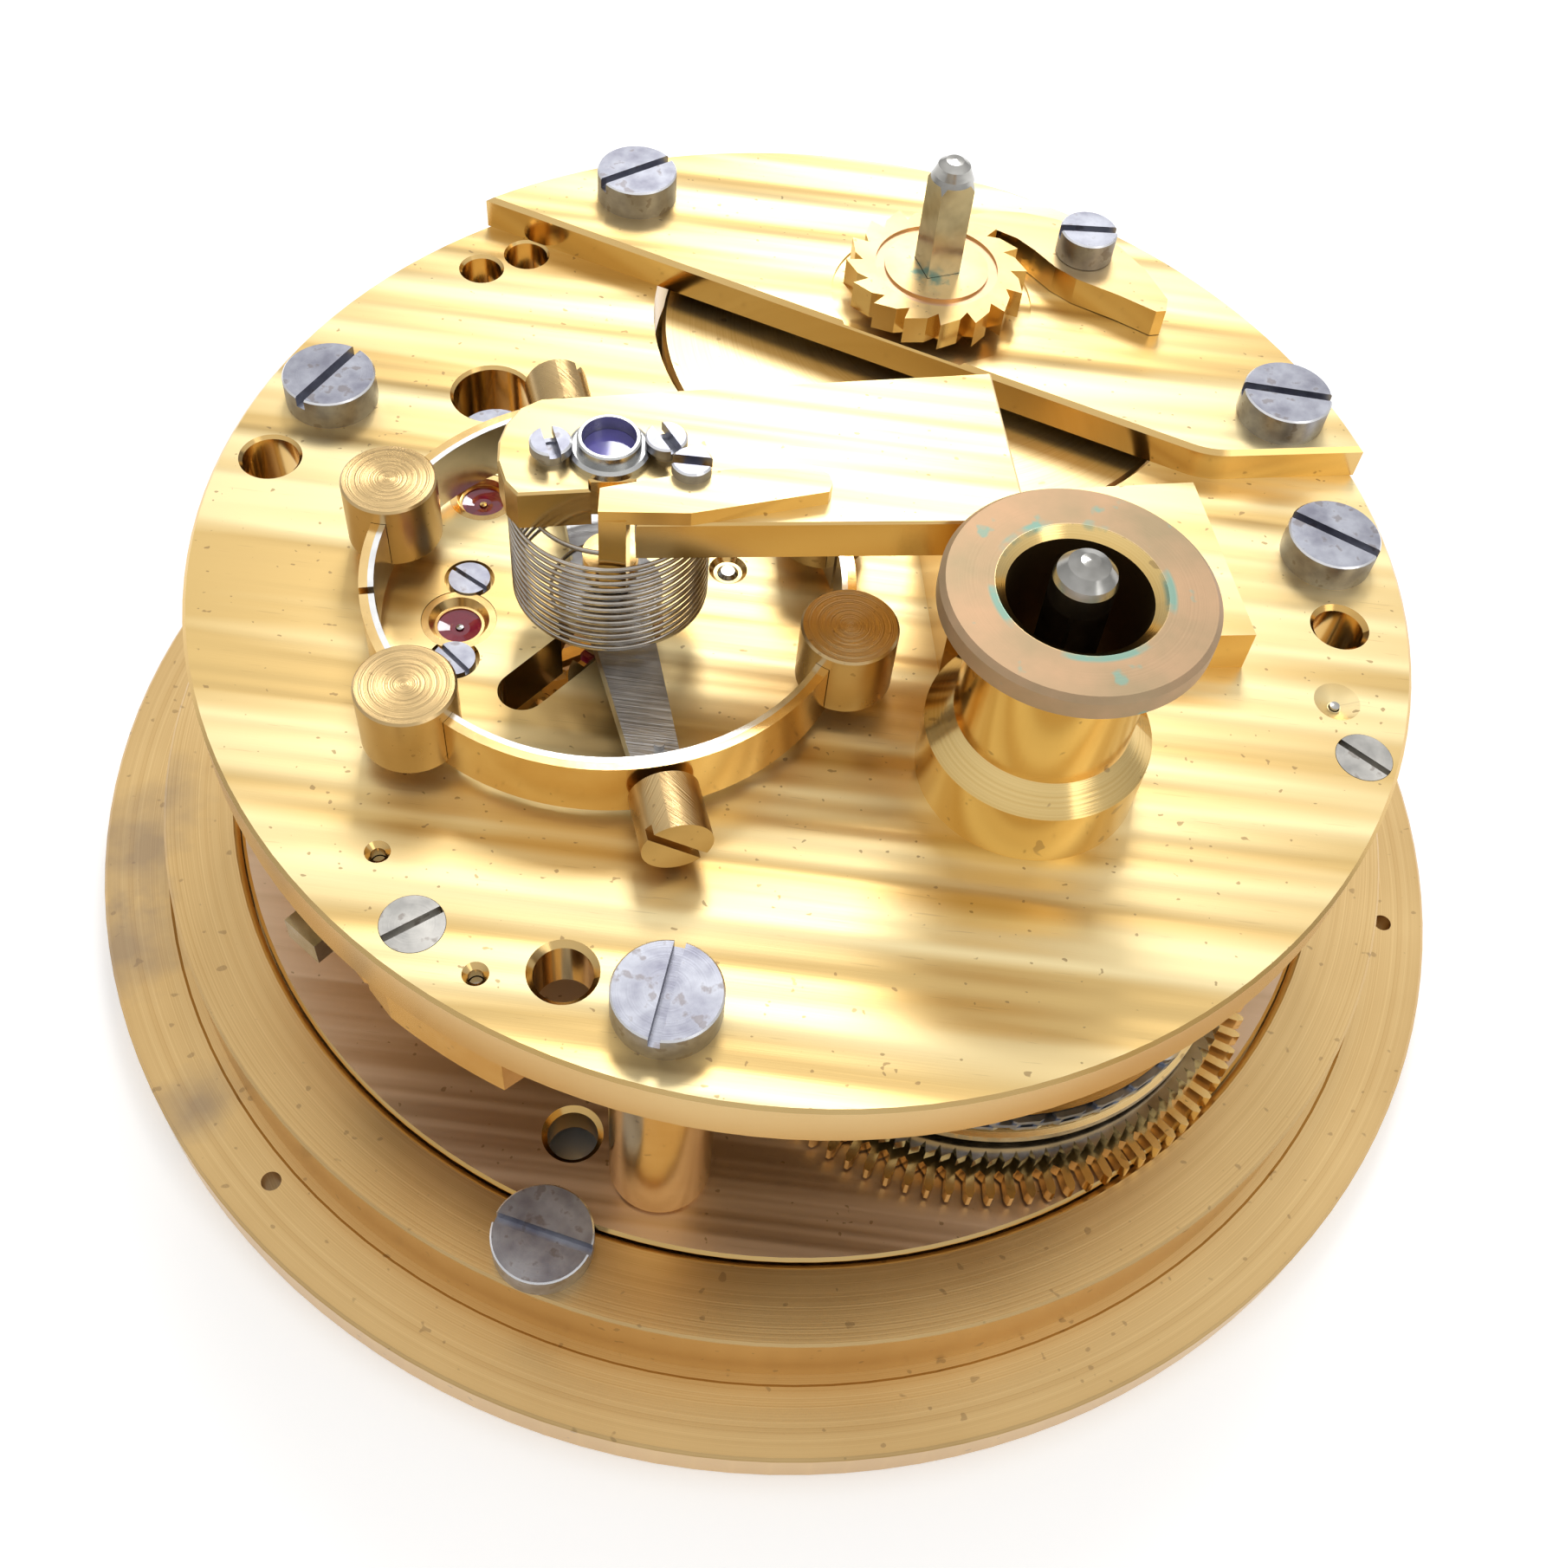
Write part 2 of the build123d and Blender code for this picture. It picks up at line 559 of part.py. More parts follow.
def make_click_screw():
    head = CLICK_Z[1] + 0.05
    with BuildPart() as screw:
        cheese_screw(CLICK, head, 2.33, 2.3, 6.4, 1.3, head - TOP - 0.2)
    save(screw, "click_screw")


# ============================================================ balance cock
def cock_point(along, across):
    """Point in the cock's own directions: along its arm, and across it."""
    turn = radians(COCK_TURN)
    return (along * cos(turn) - across * sin(turn), along * sin(turn) + across * cos(turn))


COCK_SCREW = (17.5, -1.0)


def cock_pin_places():
    return (cock_point(12.0, -9.6), cock_point(26.5, -9.6))


COCK_ARM = (
    (11.4, -12.7), (11.0, 1.05), (-5.9, -0.28), (-19.0, -1.45), (-20.3, -2.25), (-21.2, -3.7),
    (-21.7, -5.4), (-21.75, -7.1), (-21.3, -8.9), (-20.5, -10.05), (-15.95, -9.75), (-15.95, -8.9),
    (-13.25, -8.9), (-13.25, -12.7),
)
COCK_FOOT = ((8.2, -11.55), (8.2, 2.2), (29.1, 3.4), (30.35, -11.55))
COCK_RISER = ((8.2, -11.55), (8.2, 0.85), (11.0, 1.05), (11.4, -11.55))


def cock_shape(points):
    return [cock_point(*point) for point in points]


def make_balance_cock():
    foot_top = TOP + FOOT_THICKNESS
    with BuildPart() as cock:
        outline(cock_shape(COCK_ARM), COCK_TOP - COCK_THICKNESS, COCK_TOP)
        chamfer(cock.edges().group_by(Axis.Z)[-1], length=0.15)
        outline(cock_shape(COCK_RISER), TOP, COCK_TOP - COCK_THICKNESS)
        outline(cock_shape(COCK_FOOT), TOP, foot_top)
        disc(CUP_RADIUS + SEAT, COCK_TOP - 4, COCK_TOP + 1, STAFF, Mode.SUBTRACT)
        for at in cap_screw_places():
            disc(0.6 + SEAT, COCK_TOP - 2.2, COCK_TOP + 1, at, Mode.SUBTRACT)
        disc(0.6 + SEAT, COCK_TOP - 2.2, COCK_TOP + 1, STUD_SCREW, Mode.SUBTRACT)
        disc(SHANK + SEAT, TOP - 1, foot_top + 1, COCK_SCREW, Mode.SUBTRACT)
        discs(cock_pin_places(), 0.8 + SEAT, TOP - 1, TOP + 1.6, Mode.SUBTRACT)
    save(cock, "balance_cock")


def cap_screw_places():
    return ((STAFF[0] - 3.55, STAFF[1] - 0.9), (STAFF[0] + 3.5, STAFF[1] + 0.75))


STUD_SCREW = (-7.85, -10.7)
STUD_HOLDER = (
    (-13.2, -13.25), (-8.8, -11.05 - 0.3), (-5.0, -10.1), (0.0, -9.2), (0.65, -9.6), (0.95, -10.4),
    (0.8, -11.1),
    (-6.4, -14.0), (-7.4, -14.4), (-13.0, -15.25),
)


def make_cap_setting():
    low = COCK_TOP
    with BuildPart() as setting:
        turned((
            (1.3, COCK_TOP - 2.4), (CUP_RADIUS, COCK_TOP - 2.4), (CUP_RADIUS, low), (SETTING_RADIUS, low),
            (SETTING_RADIUS, low + 0.45), (SETTING_RADIUS - 0.25, low + 0.6), (CUP_RADIUS, low + 0.6),
            (CUP_RADIUS, low + 1.3), (CUP_RADIUS - 0.12, low + 1.4), (1.75, low + 1.4), (1.75, low - 0.2),
            (1.3, low - 0.2),
        ), STAFF)
    save(setting, "cap_jewel_setting")


def make_cap_jewel():
    with BuildPart() as jewel:
        disc(1.75 - 0.01, COCK_TOP - 0.2, COCK_TOP + 0.35, STAFF)
    save(jewel, "cap_jewel")


def make_bearing_jewels():
    """Hole jewels of the balance staff, the fourth wheel and the escape wheel."""
    with BuildPart() as jewels:
        for at, _ in JEWEL_SETTINGS:
            turned(((0.25 + RUN, TOP - 1.5), (1.55 - 0.01, TOP - 1.5), (1.55 - 0.01, TOP - 0.75),
                    (0.7, TOP - 0.95), (0.25 + RUN, TOP - 0.95)), at)
        turned(((0.18, COCK_TOP - 1.0), (1.3 - 0.01, COCK_TOP - 1.0), (1.3 - 0.01, COCK_TOP - 0.5),
                (0.18, COCK_TOP - 0.5)), STAFF)
        turned(((0.18, POTENCE_LOW + 0.8), (1.3, POTENCE_LOW + 0.8), (1.3, POTENCE_LOW + 1.4),
                (0.18, POTENCE_LOW + 1.4)), STAFF)
    save(jewels, "bearing_jewels")


def make_small_screws():
    """Screws of the jewel settings, the cap jewel and the stud holder."""
    with BuildPart() as screws:
        for at, angle in zip(SETTING_SCREWS, (150.0, 140.0)):
            disc(1.47, TOP - 0.8, TOP + 0.1, at)
            disc(0.6, TOP - 3.0, TOP - 0.8, at)
            slot_cut(at, TOP + 0.1, 1.47, angle, 0.35, 0.4)
        for at, angle in zip(cap_screw_places(), (113.5, 126.8)):
            cheese_screw(at, COCK_TOP + 0.6, 1.35, 0.75, angle, 0.6, 2.5)
        cheese_screw(STUD_SCREW, COCK_TOP + 1.1, 1.3, 0.8, 2.0, 0.6, 3.0)
        for at in cap_screw_places():
            turned(((0.6, COCK_TOP), (0.95, COCK_TOP), (0.95, COCK_TOP + 0.6), (0.6, COCK_TOP + 0.6)), at)
    save(screws, "small_screws")


def make_stud_holder():
    with BuildPart() as holder:
        outline(STUD_HOLDER, COCK_TOP, COCK_TOP + 1.1)
        outline(((-13.2, -13.4), (-11.3, -13.4), (-11.3, -15.1), (-13.0, -15.25)), SPRING_TOP - 2.4,
                COCK_TOP + 0.3)
        disc(0.6 + SEAT, COCK_TOP - 1, COCK_TOP + 2, STUD_SCREW, Mode.SUBTRACT)
    save(holder, "spring_stud_holder")


# ============================================================ potence and detent
POTENCE_LOW = 19.6
POTENCE_ARM_TOP = 22.0


def make_potence():
    line = direction(STAFF, POTENCE_PIN)
    with BuildPart() as potence:
        bar(14.4, 4.6, POTENCE_LOW, POTENCE_ARM_TOP, polar(STAFF, 4.6, line), line)
        bar(4.6, 4.6, POTENCE_ARM_TOP, TOP_UNDER, polar(STAFF, 9.5, line), line)
        disc(1.3 + 0.01, POTENCE_LOW + 0.8, POTENCE_ARM_TOP + 1, STAFF, Mode.SUBTRACT)
        disc(0.75 + SEAT, TOP_UNDER - 3, TOP_UNDER + 1, POTENCE_PIN, Mode.SUBTRACT)
    save(potence, "balance_potence")


DETENT_LINE = direction(STAFF, SLOT_END)
DETENT_Z = (25.2, 26.3)


def make_detent_foot():
    """Brass block under the top plate that carries the spring detent."""
    middle = FLAT_SCREWS[0][0]
    along = 135.4
    low = TOP_UNDER - 5.0
    with BuildPart() as foot:
        with BuildSketch(Plane.XY.offset(low)):
            with Locations(Location((middle[0], middle[1], 0), (0, 0, 1), along)):
                with Locations((0.4, -0.4)):
                    Rectangle(18.4, 6.2)
            Circle(TOP_PLATE_RADIUS - 0.75, mode=Mode.INTERSECT)
        extrude(amount=TOP_UNDER - low)
        cut = polar(middle, 8.6, along)
        bar(6.6, 9.0, low - 1, low + 2.4, cut, along, Mode.SUBTRACT)
        notch = polar(polar(middle, -3.6, along - 90), 3.4, along)
        outline([polar(notch, 1.5, along + side) for side in (0, 120, 240)], low - 1, low + 3.4,
                Mode.SUBTRACT)
        disc(1.2 + SEAT, TOP_UNDER - 2.3, TOP_UNDER + 1, middle, Mode.SUBTRACT)
        for at, _, _ in (OPEN_HOLES[5], OPEN_HOLES[6]):
            disc(0.45 + SEAT, TOP_UNDER - 1.5, TOP_UNDER + 1, at, Mode.SUBTRACT)
    save(foot, "detent_foot")


def make_pins():
    """Steady pins of bridge, cock and detent foot, the potence pin and the minute wheel's stud."""
    with BuildPart() as pins:
        discs(bridge_pin_places(), 0.8, TOP - 3.0, TOP + 1.5)
        discs(cock_pin_places(), 0.8, TOP - 3.0, TOP + 1.5)
        for at, _, _ in (OPEN_HOLES[5], OPEN_HOLES[6]):
            disc(0.45, TOP_UNDER - 1.5, TOP - 1.2, at)
        turned(((0, TOP_UNDER - 2.8), (0.75, TOP_UNDER - 2.8), (0.75, TOP - 0.3), (0.5, TOP - 0.1),
                (0, TOP - 0.1)),
               POTENCE_PIN)
        disc(0.6, 4.75, PLATE_BOTTOM, MINUTE)
        disc(1.0, PLATE_BOTTOM, PLATE_BOTTOM + 1.5, MINUTE)
        disc(0.95, 4.65, 4.8, MINUTE)
    save(pins, "steady_pins")


DETENT_ROOT = 26.8


def make_spring_detent():
    """Thin steel blade: clamped foot, flexing spring, stiff blade, stone and tip."""
    low, high = DETENT_Z
    line = DETENT_LINE
    with BuildPart() as detent:
        bar(5.4, 3.0, low, TOP_UNDER - 2.6 - 0.02, polar(STAFF, DETENT_ROOT, line), line)
        bar(4.4, 0.2, low, high, polar(STAFF, DETENT_ROOT - 4.8, line), line)
        bar(17.6, 0.7, low, high, polar(STAFF, 11.1, line), line)
        disc(0.33, high, ESCAPE_Z[1], polar(STAFF, 8.75, line))
        disc(0.75, low, high, polar(STAFF, 8.75, line))
    save(detent, "spring_detent")


# ============================================================ winding tube
def make_winding_tube():
    with BuildPart() as tube:
        turned((
            (3.05, TOP - 1.4), (6.4, TOP - 1.4), (6.4, TOP), (TUBE_BASE_RADIUS, TOP),
            (TUBE_BASE_RADIUS, TOP + 4.7), (TUBE_BASE_RADIUS - 0.15, TOP + 4.85),
            (TUBE_NECK_RADIUS, TOP + 6.4),
            (TUBE_NECK_RADIUS, TUBE_TOP - 3.4), (7.0, TUBE_TOP - 1.75),
            (TUBE_FLANGE_RADIUS, TUBE_TOP - 1.65),
            (TUBE_FLANGE_RADIUS, TUBE_TOP - 0.35), (TUBE_FLANGE_RADIUS - 0.35, TUBE_TOP),
            (TUBE_BORE_RADIUS + 0.7, TUBE_TOP), (TUBE_BORE_RADIUS, TUBE_TOP - 0.6),
            (TUBE_BORE_RADIUS, TOP + 2.6), (3.05, TOP + 2.6),
        ), FUSEE)
    save(tube, "winding_tube")


# ============================================================ going train
def module_for(a, b, teeth):
    return 2 * distance(a, b) / teeth


GREAT_MODULE = module_for(FUSEE, CENTRE, GREAT_TEETH + CENTRE_LEAVES)
CENTRE_MODULE = module_for(CENTRE, THIRD, CENTRE_TEETH + THIRD_LEAVES)
THIRD_MODULE = module_for(THIRD, FOURTH, THIRD_TEETH + FOURTH_LEAVES)
FOURTH_MODULE = module_for(FOURTH, ESCAPE, FOURTH_TEETH + ESCAPE_LEAVES)
MOTION_MODULE = module_for(CENTRE, MINUTE, CANNON_TEETH + MINUTE_TEETH)
HOUR_MODULE = module_for(CENTRE, MINUTE, MINUTE_LEAVES + HOUR_TEETH)
UP_DOWN_MODULE = module_for(FUSEE, UP_DOWN, FUSEE_LEAVES + UP_DOWN_TEETH)
CENTRE_PINION_PHASE = meshed(FUSEE, GREAT_TEETH, 0.0, CENTRE, CENTRE_LEAVES)
THIRD_PINION_PHASE = meshed(CENTRE, CENTRE_TEETH, 0.0, THIRD, THIRD_LEAVES)
FOURTH_PINION_PHASE = meshed(THIRD, THIRD_TEETH, 0.0, FOURTH, FOURTH_LEAVES)
ESCAPE_PINION_PHASE = meshed(FOURTH, FOURTH_TEETH, 0.0, ESCAPE, ESCAPE_LEAVES)
MINUTE_PHASE = meshed(CENTRE, CANNON_TEETH, 0.0, MINUTE, MINUTE_TEETH)
HOUR_PHASE = meshed(MINUTE, MINUTE_LEAVES, 0.0, CENTRE, HOUR_TEETH)
FUSEE_PINION_PHASE = meshed(UP_DOWN, UP_DOWN_TEETH, 0.0, FUSEE, FUSEE_LEAVES)


def make_great_wheel():
    low, high = GREAT_Z
    with BuildPart() as great:
        tip = GREAT_MODULE * (GREAT_TEETH / 2 + 0.9)
        corners = straight_flanks(GREAT_TEETH, GREAT_MODULE, tip, 20.1)
        outline(gear_outline(GREAT_TEETH, corners, FUSEE, 0.0, 0.35), low, high)
        disc(5.0, high, MAINTAIN_Z[0], FUSEE)
        disc(2.4 + RUN, low - 1, MAINTAIN_Z[0] + 1, FUSEE, Mode.SUBTRACT)
        crossings(6.5, 17.0, 4, 3.0, low, high, FUSEE, 45)
    save(great, "great_wheel")


def make_maintaining_ratchet():
    low, high = MAINTAIN_Z
    with BuildPart() as ratchet:
        outline(saw_outline(MAINTAIN_TEETH, 20.0, 19.1, FUSEE, 0.0, 0.5), low, high)
        disc(2.4 + RUN, low - 1, high + 1, FUSEE, Mode.SUBTRACT)
    save(ratchet, "maintaining_ratchet")


def fusee_radius(turn):
    """Groove radius of a fusee turn: hyperbola through the large and the small end."""
    slope = (FUSEE_LARGE / FUSEE_SMALL - 1) / (FUSEE_TURNS - 1)
    return FUSEE_LARGE / (1 + slope * turn)


def fusee_level(turn):
    """Middle height of the groove of a turn."""
    return FUSEE_BASE + 0.9 + CHAIN_PITCH * (turn + 0.5)


def make_fusee_cone():
    wall = 0.2
    crest = 0.7
    profile = [(2.15, FUSEE_BASE), (FUSEE_LARGE + 1.5, FUSEE_BASE), (FUSEE_LARGE + 1.5, FUSEE_BASE + 0.7)]
    for turn in range(FUSEE_TURNS):
        floor = fusee_radius(turn)
        middle = fusee_level(turn)
        low = middle - CHAIN_PITCH / 2
        high = middle + CHAIN_PITCH / 2
        profile += [(floor + crest, low), (floor + crest, low + wall), (floor, low + wall),
                    (floor, high - wall), (floor + crest, high - wall)]
    top = fusee_level(FUSEE_TURNS - 1) + CHAIN_PITCH / 2
    profile += [(fusee_radius(FUSEE_TURNS - 1) + crest, top), (7.6, top + 0.2), (7.6, top + 0.9),
                (2.15, top + 0.9)]
    with BuildPart() as cone:
        turned(profile, FUSEE)
    save(cone, "fusee_cone")


def make_fusee_arbor():
    """Arbor through the fusee: lower pivot and up and down pinion, body, winding square."""
    tip = FUSEE_SQUARE_TOP
    with BuildPart() as arbor:
        turned((
            (0, PLATE_BOTTOM - 0.2), (1.6, PLATE_BOTTOM - 0.2), (1.6, RING_TOP + 0.15),
            (2.1, RING_TOP + 0.15),
            (2.1, TOP_UNDER - 0.1), (3.0 - RUN, TOP_UNDER - 0.1), (3.0 - RUN, TOP + 3.2), (2.0, TOP + 3.2),
            (2.0, tip - 1.6), (1.85, tip - 1.1), (1.3, tip - 0.45), (0.6, tip - 0.1), (0, tip),
        ), FUSEE)
        wheel(FUSEE_LEAVES, UP_DOWN_MODULE, PLATE_BOTTOM - 1.5, PLATE_BOTTOM - 0.2, FUSEE,
              FUSEE_PINION_PHASE)
        with BuildSketch(Plane.XY.offset(TOP + 5.0)):
            with Locations(FUSEE):
                Circle(4)
                Rectangle(3.0, 3.0, rotation=30, mode=Mode.SUBTRACT)
        extrude(amount=12.6, mode=Mode.SUBTRACT)
    save(arbor, "fusee_arbor")


def chain_ring(centre, floor, level):
    """One closed turn of chain lying in its groove."""
    low = level - CHAIN_WIDTH / 2
    inner = floor + 0.12
    with BuildSketch(Plane.XY.offset(low)) as flat:
        with Locations(centre):
            Circle(inner + CHAIN_THICKNESS)
            Circle(inner, mode=Mode.SUBTRACT)
    extrude(flat.sketch, amount=CHAIN_WIDTH)


def chain_run():
    """Middle point, length and direction of the straight stretch between fusee and barrel."""
    turn = TURNS_WOUND - 1
    small = fusee_radius(turn) + 0.12 + CHAIN_THICKNESS / 2
    large = DRUM_RADIUS + 0.12 + CHAIN_THICKNESS / 2
    line = direction(FUSEE, BARREL)
    span = distance(FUSEE, BARREL)
    lean = degrees(acos((small - large) / span))
    start = polar(FUSEE, small, line - lean)
    end = polar(BARREL, large, line - lean)
    return start, end


def make_chain():
    with BuildPart() as chain:
        for turn in range(TURNS_WOUND):
            chain_ring(FUSEE, fusee_radius(turn), fusee_level(turn))
        for turn in range(TURNS_WOUND - 1, TURNS_WOUND + 1):
            chain_ring(BARREL, DRUM_RADIUS, fusee_level(turn))
        start, end = chain_run()
        level = fusee_level(TURNS_WOUND - 1)
        middle = ((start[0] + end[0]) / 2, (start[1] + end[1]) / 2)
        bar(distance(start, end), CHAIN_THICKNESS, level - CHAIN_WIDTH / 2, level + CHAIN_WIDTH / 2,
            middle, direction(start, end))
    save(chain, "fusee_chain")


def make_barrel_drum():
    with BuildPart() as drum:
        turned((
            (2.6 + RUN, DRUM_BASE), (COVER_RADIUS, DRUM_BASE), (COVER_RADIUS, DRUM_BASE + 0.9),
            (DRUM_RADIUS, DRUM_BASE + 0.9), (DRUM_RADIUS, DRUM_TOP), (DRUM_RADIUS - 0.9, DRUM_TOP),
            (DRUM_RADIUS - 0.9, DRUM_BASE + 1.1), (2.6 + RUN, DRUM_BASE + 1.1),
        ), BARREL)
    save(drum, "barrel_drum")


def make_barrel_cover():
    with BuildPart() as cover:
        turned((
            (2.6 + RUN, DRUM_TOP), (COVER_RADIUS, DRUM_TOP), (COVER_RADIUS, COVER_TOP - 0.3),
            (COVER_RADIUS - 0.3, COVER_TOP), (2.6 + RUN, COVER_TOP),
        ), BARREL)
        turned(((DRUM_RADIUS - 1.3, DRUM_TOP - 0.5), (DRUM_RADIUS - 0.95, DRUM_TOP - 0.5),
                (DRUM_RADIUS - 0.95, DRUM_TOP), (DRUM_RADIUS - 1.3, DRUM_TOP)), BARREL)
    save(cover, "barrel_cover")


def make_barrel_arbor():
    low, high = RATCHET_Z
    tip = BARREL_SQUARE_TOP
    half = SQUARE_SIDE / 2
    with BuildPart() as arbor:
        turned((
            (0, PLATE_BOTTOM + 0.4), (1.6, PLATE_BOTTOM + 0.4), (1.6, RING_TOP + 0.2),
            (2.6, RING_TOP + 0.2),
            (2.6, DRUM_BASE + 1.4), (5.5, DRUM_BASE + 1.4), (5.5, DRUM_TOP - 0.3), (2.6, DRUM_TOP - 0.3),
            (2.6, TOP - 0.3), (2.3, TOP - 0.3), (2.3, low), (1.95, low), (1.95, tip - 2.2),
            (1.5, tip - 1.2),
            (1.25, tip - 0.5), (0.7, tip - 0.1), (0, tip),
        ), BARREL)
        with BuildSketch(Plane.XY.offset(low)):
            with Locations(BARREL):
                Circle(4)
                Rectangle(2 * half, 2 * half, rotation=25, mode=Mode.SUBTRACT)
        extrude(amount=tip - 1.6 - low, mode=Mode.SUBTRACT)
    save(arbor, "barrel_arbor")


def make_mainspring():
    """Ribbon wound in even turns between the arbor and the drum wall."""
    turns = 7
    inner = 8.0
    outer = DRUM_RADIUS - 1.5
    thick = 0.45
    steps = turns * 24
    path = [(inner + (outer - inner) * i / steps, 360.0 * turns * i / steps) for i in range(steps + 1)]
    points = [polar(BARREL, radius, angle) for radius, angle in path]
    points += [polar(BARREL, radius - thick, angle) for radius, angle in reversed(path)]
    with BuildPart() as spring:
        outline(points, DRUM_BASE + 2.0, DRUM_TOP - 1.0)
    save(spring, "mainspring")


def make_centre_wheel():
    low, high = CENTRE_Z
    with BuildPart() as centre:
        wheel(CENTRE_TEETH, CENTRE_MODULE, low, high, CENTRE)
        crossings(3.6, 12.6, 5, 1.6, low, high, CENTRE)
        disc(1.6 + SEAT, low - 1, high + 1, CENTRE, Mode.SUBTRACT)
    save(centre, "centre_wheel")


def make_centre_arbor():
    with BuildPart() as arbor:
        turned(((0, 1.5), (0.62, 1.5), (0.62, PLATE_BOTTOM + 0.2), (1.6, PLATE_BOTTOM + 0.2),
                (1.6, GREAT_Z[0] - 0.2), (1.1, GREAT_Z[0] - 0.2), (1.1, TOP_UNDER - 0.2),
                (0.8, TOP_UNDER - 0.2), (0.8, TOP - 0.4), (0.5, TOP - 0.2), (0, TOP - 0.2)), CENTRE)
        wheel(CENTRE_LEAVES, GREAT_MODULE, GREAT_Z[0] - 0.2, GREAT_Z[1] + 0.3, CENTRE, CENTRE_PINION_PHASE)
    save(arbor, "centre_arbor")


def make_third_wheel():
    """Third wheel riveted on its arbor, with the pinion below it."""
    low, high = THIRD_Z
    with BuildPart() as third:
        wheel(THIRD_TEETH, THIRD_MODULE, low, high, THIRD)
        crossings(2.6, 10.4, 5, 1.2, low, high, THIRD)
        turned(((0, PLATE_BOTTOM + 0.3), (0.5, PLATE_BOTTOM + 0.3), (0.5, CENTRE_Z[0] - 0.25),
                (1.0, CENTRE_Z[0] - 0.25), (1.0, high + 0.6), (0.7, high + 0.6), (0.7, TOP_UNDER - 0.2),
                (0.35, TOP_UNDER - 0.2), (0.35, TOP - 0.5), (0, TOP - 0.4)), THIRD)
        wheel(THIRD_LEAVES, CENTRE_MODULE, CENTRE_Z[0] - 0.2, CENTRE_Z[1] + 0.3, THIRD, THIRD_PINION_PHASE)
    save(third, "third_wheel")


def make_fourth_wheel():
    """Fourth wheel on its arbor, which turns once a minute and carries the seconds hand."""
    low, high = FOURTH_Z
    with BuildPart() as fourth:
        wheel(FOURTH_TEETH, FOURTH_MODULE, low, high, FOURTH)
        crossings(2.2, 9.4, 5, 1.0, low, high, FOURTH)
        turned(((0, 2.75), (0.35, 2.75), (0.35, PLATE_BOTTOM - 0.3), (0.7, PLATE_BOTTOM - 0.3),
                (0.7, RING_TOP + 0.2),
                (0.8, RING_TOP + 0.2), (0.8, TOP_UNDER + 0.4), (0.25, TOP_UNDER + 0.8), (0.25, TOP - 0.8),
                (0, TOP - 0.75)), FOURTH)
        wheel(FOURTH_LEAVES, THIRD_MODULE, THIRD_Z[0] - 0.3, THIRD_Z[1] + 0.3, FOURTH, FOURTH_PINION_PHASE)
    save(fourth, "fourth_wheel")


def make_escape_wheel():
    """Fifteen raked teeth on a light crossed-out rim."""
    low, high = ESCAPE_Z
    points = []
    for tooth in range(ESCAPE_TEETH):
        middle = 12.0 + 360.0 * tooth / ESCAPE_TEETH
        points += [polar(ESCAPE, 5.6, middle - 9), polar(ESCAPE, 5.75, middle - 1.5),
                   polar(ESCAPE, 6.6, middle - 2.2),
                   polar(ESCAPE, ESCAPE_RADIUS, middle - 0.6), polar(ESCAPE, ESCAPE_RADIUS, middle + 0.6),
                   polar(ESCAPE, 6.4, middle + 3.6), polar(ESCAPE, 5.7, middle + 5.5)]
    with BuildPart() as escape:
        outline(points, low, high)
        crossings(1.7, 4.7, 4, 0.8, low, high, ESCAPE)
        disc(0.7 + SEAT, low - 1, high + 1, ESCAPE, Mode.SUBTRACT)
    save(escape, "escape_wheel")


def make_escape_arbor():
    low, high = FOURTH_Z
    with BuildPart() as arbor:
        turned(((0, PLATE_BOTTOM + 0.3), (0.5, PLATE_BOTTOM + 0.3), (0.5, RING_TOP + 0.2),
                (0.7, RING_TOP + 0.2),
                (0.7, TOP_UNDER + 0.4), (0.25, TOP_UNDER + 0.8), (0.25, TOP - 0.8), (0, TOP - 0.75)),
                ESCAPE)
        wheel(ESCAPE_LEAVES, FOURTH_MODULE, low - 0.3, high + 0.3, ESCAPE, ESCAPE_PINION_PHASE)
    save(arbor, "escape_arbor")


# ============================================================ balance
def make_balance_staff():
    arm_low = ARM_TOP - ARM_THICKNESS
    with BuildPart() as staff:
        turned((
            (0, POTENCE_LOW + 0.85), (0.14, POTENCE_LOW + 0.85), (0.14, POTENCE_LOW + 1.5),
            (0.6, POTENCE_LOW + 1.9),
            (0.6, 24.0), (0.8, 24.0), (0.8, arm_low - 0.8), (2.6, arm_low - 0.8), (2.6, arm_low - 0.02),
            (1.3, arm_low - 0.02), (1.3, ARM_TOP + 0.4), (0.8, ARM_TOP + 0.4), (0.8, COCK_TOP - 2.0),
            (0.14, COCK_TOP - 1.3), (0.14, COCK_TOP - 0.25), (0, COCK_TOP - 0.25),
        ), STAFF)
    save(staff, "balance_staff")


def make_spring_collet():
    with BuildPart() as collet:
        turned(((0.8 + SEAT, ARM_TOP + 1.6), (1.9, ARM_TOP + 1.6), (1.9, ARM_TOP + 3.4),
                (0.8 + SEAT, ARM_TOP + 3.4)),
               STAFF)
        bar(2.2, 0.3, ARM_TOP + 1, ARM_TOP + 4, polar(STAFF, 1.6, 60), 60, Mode.SUBTRACT)
    save(collet, "spring_collet")


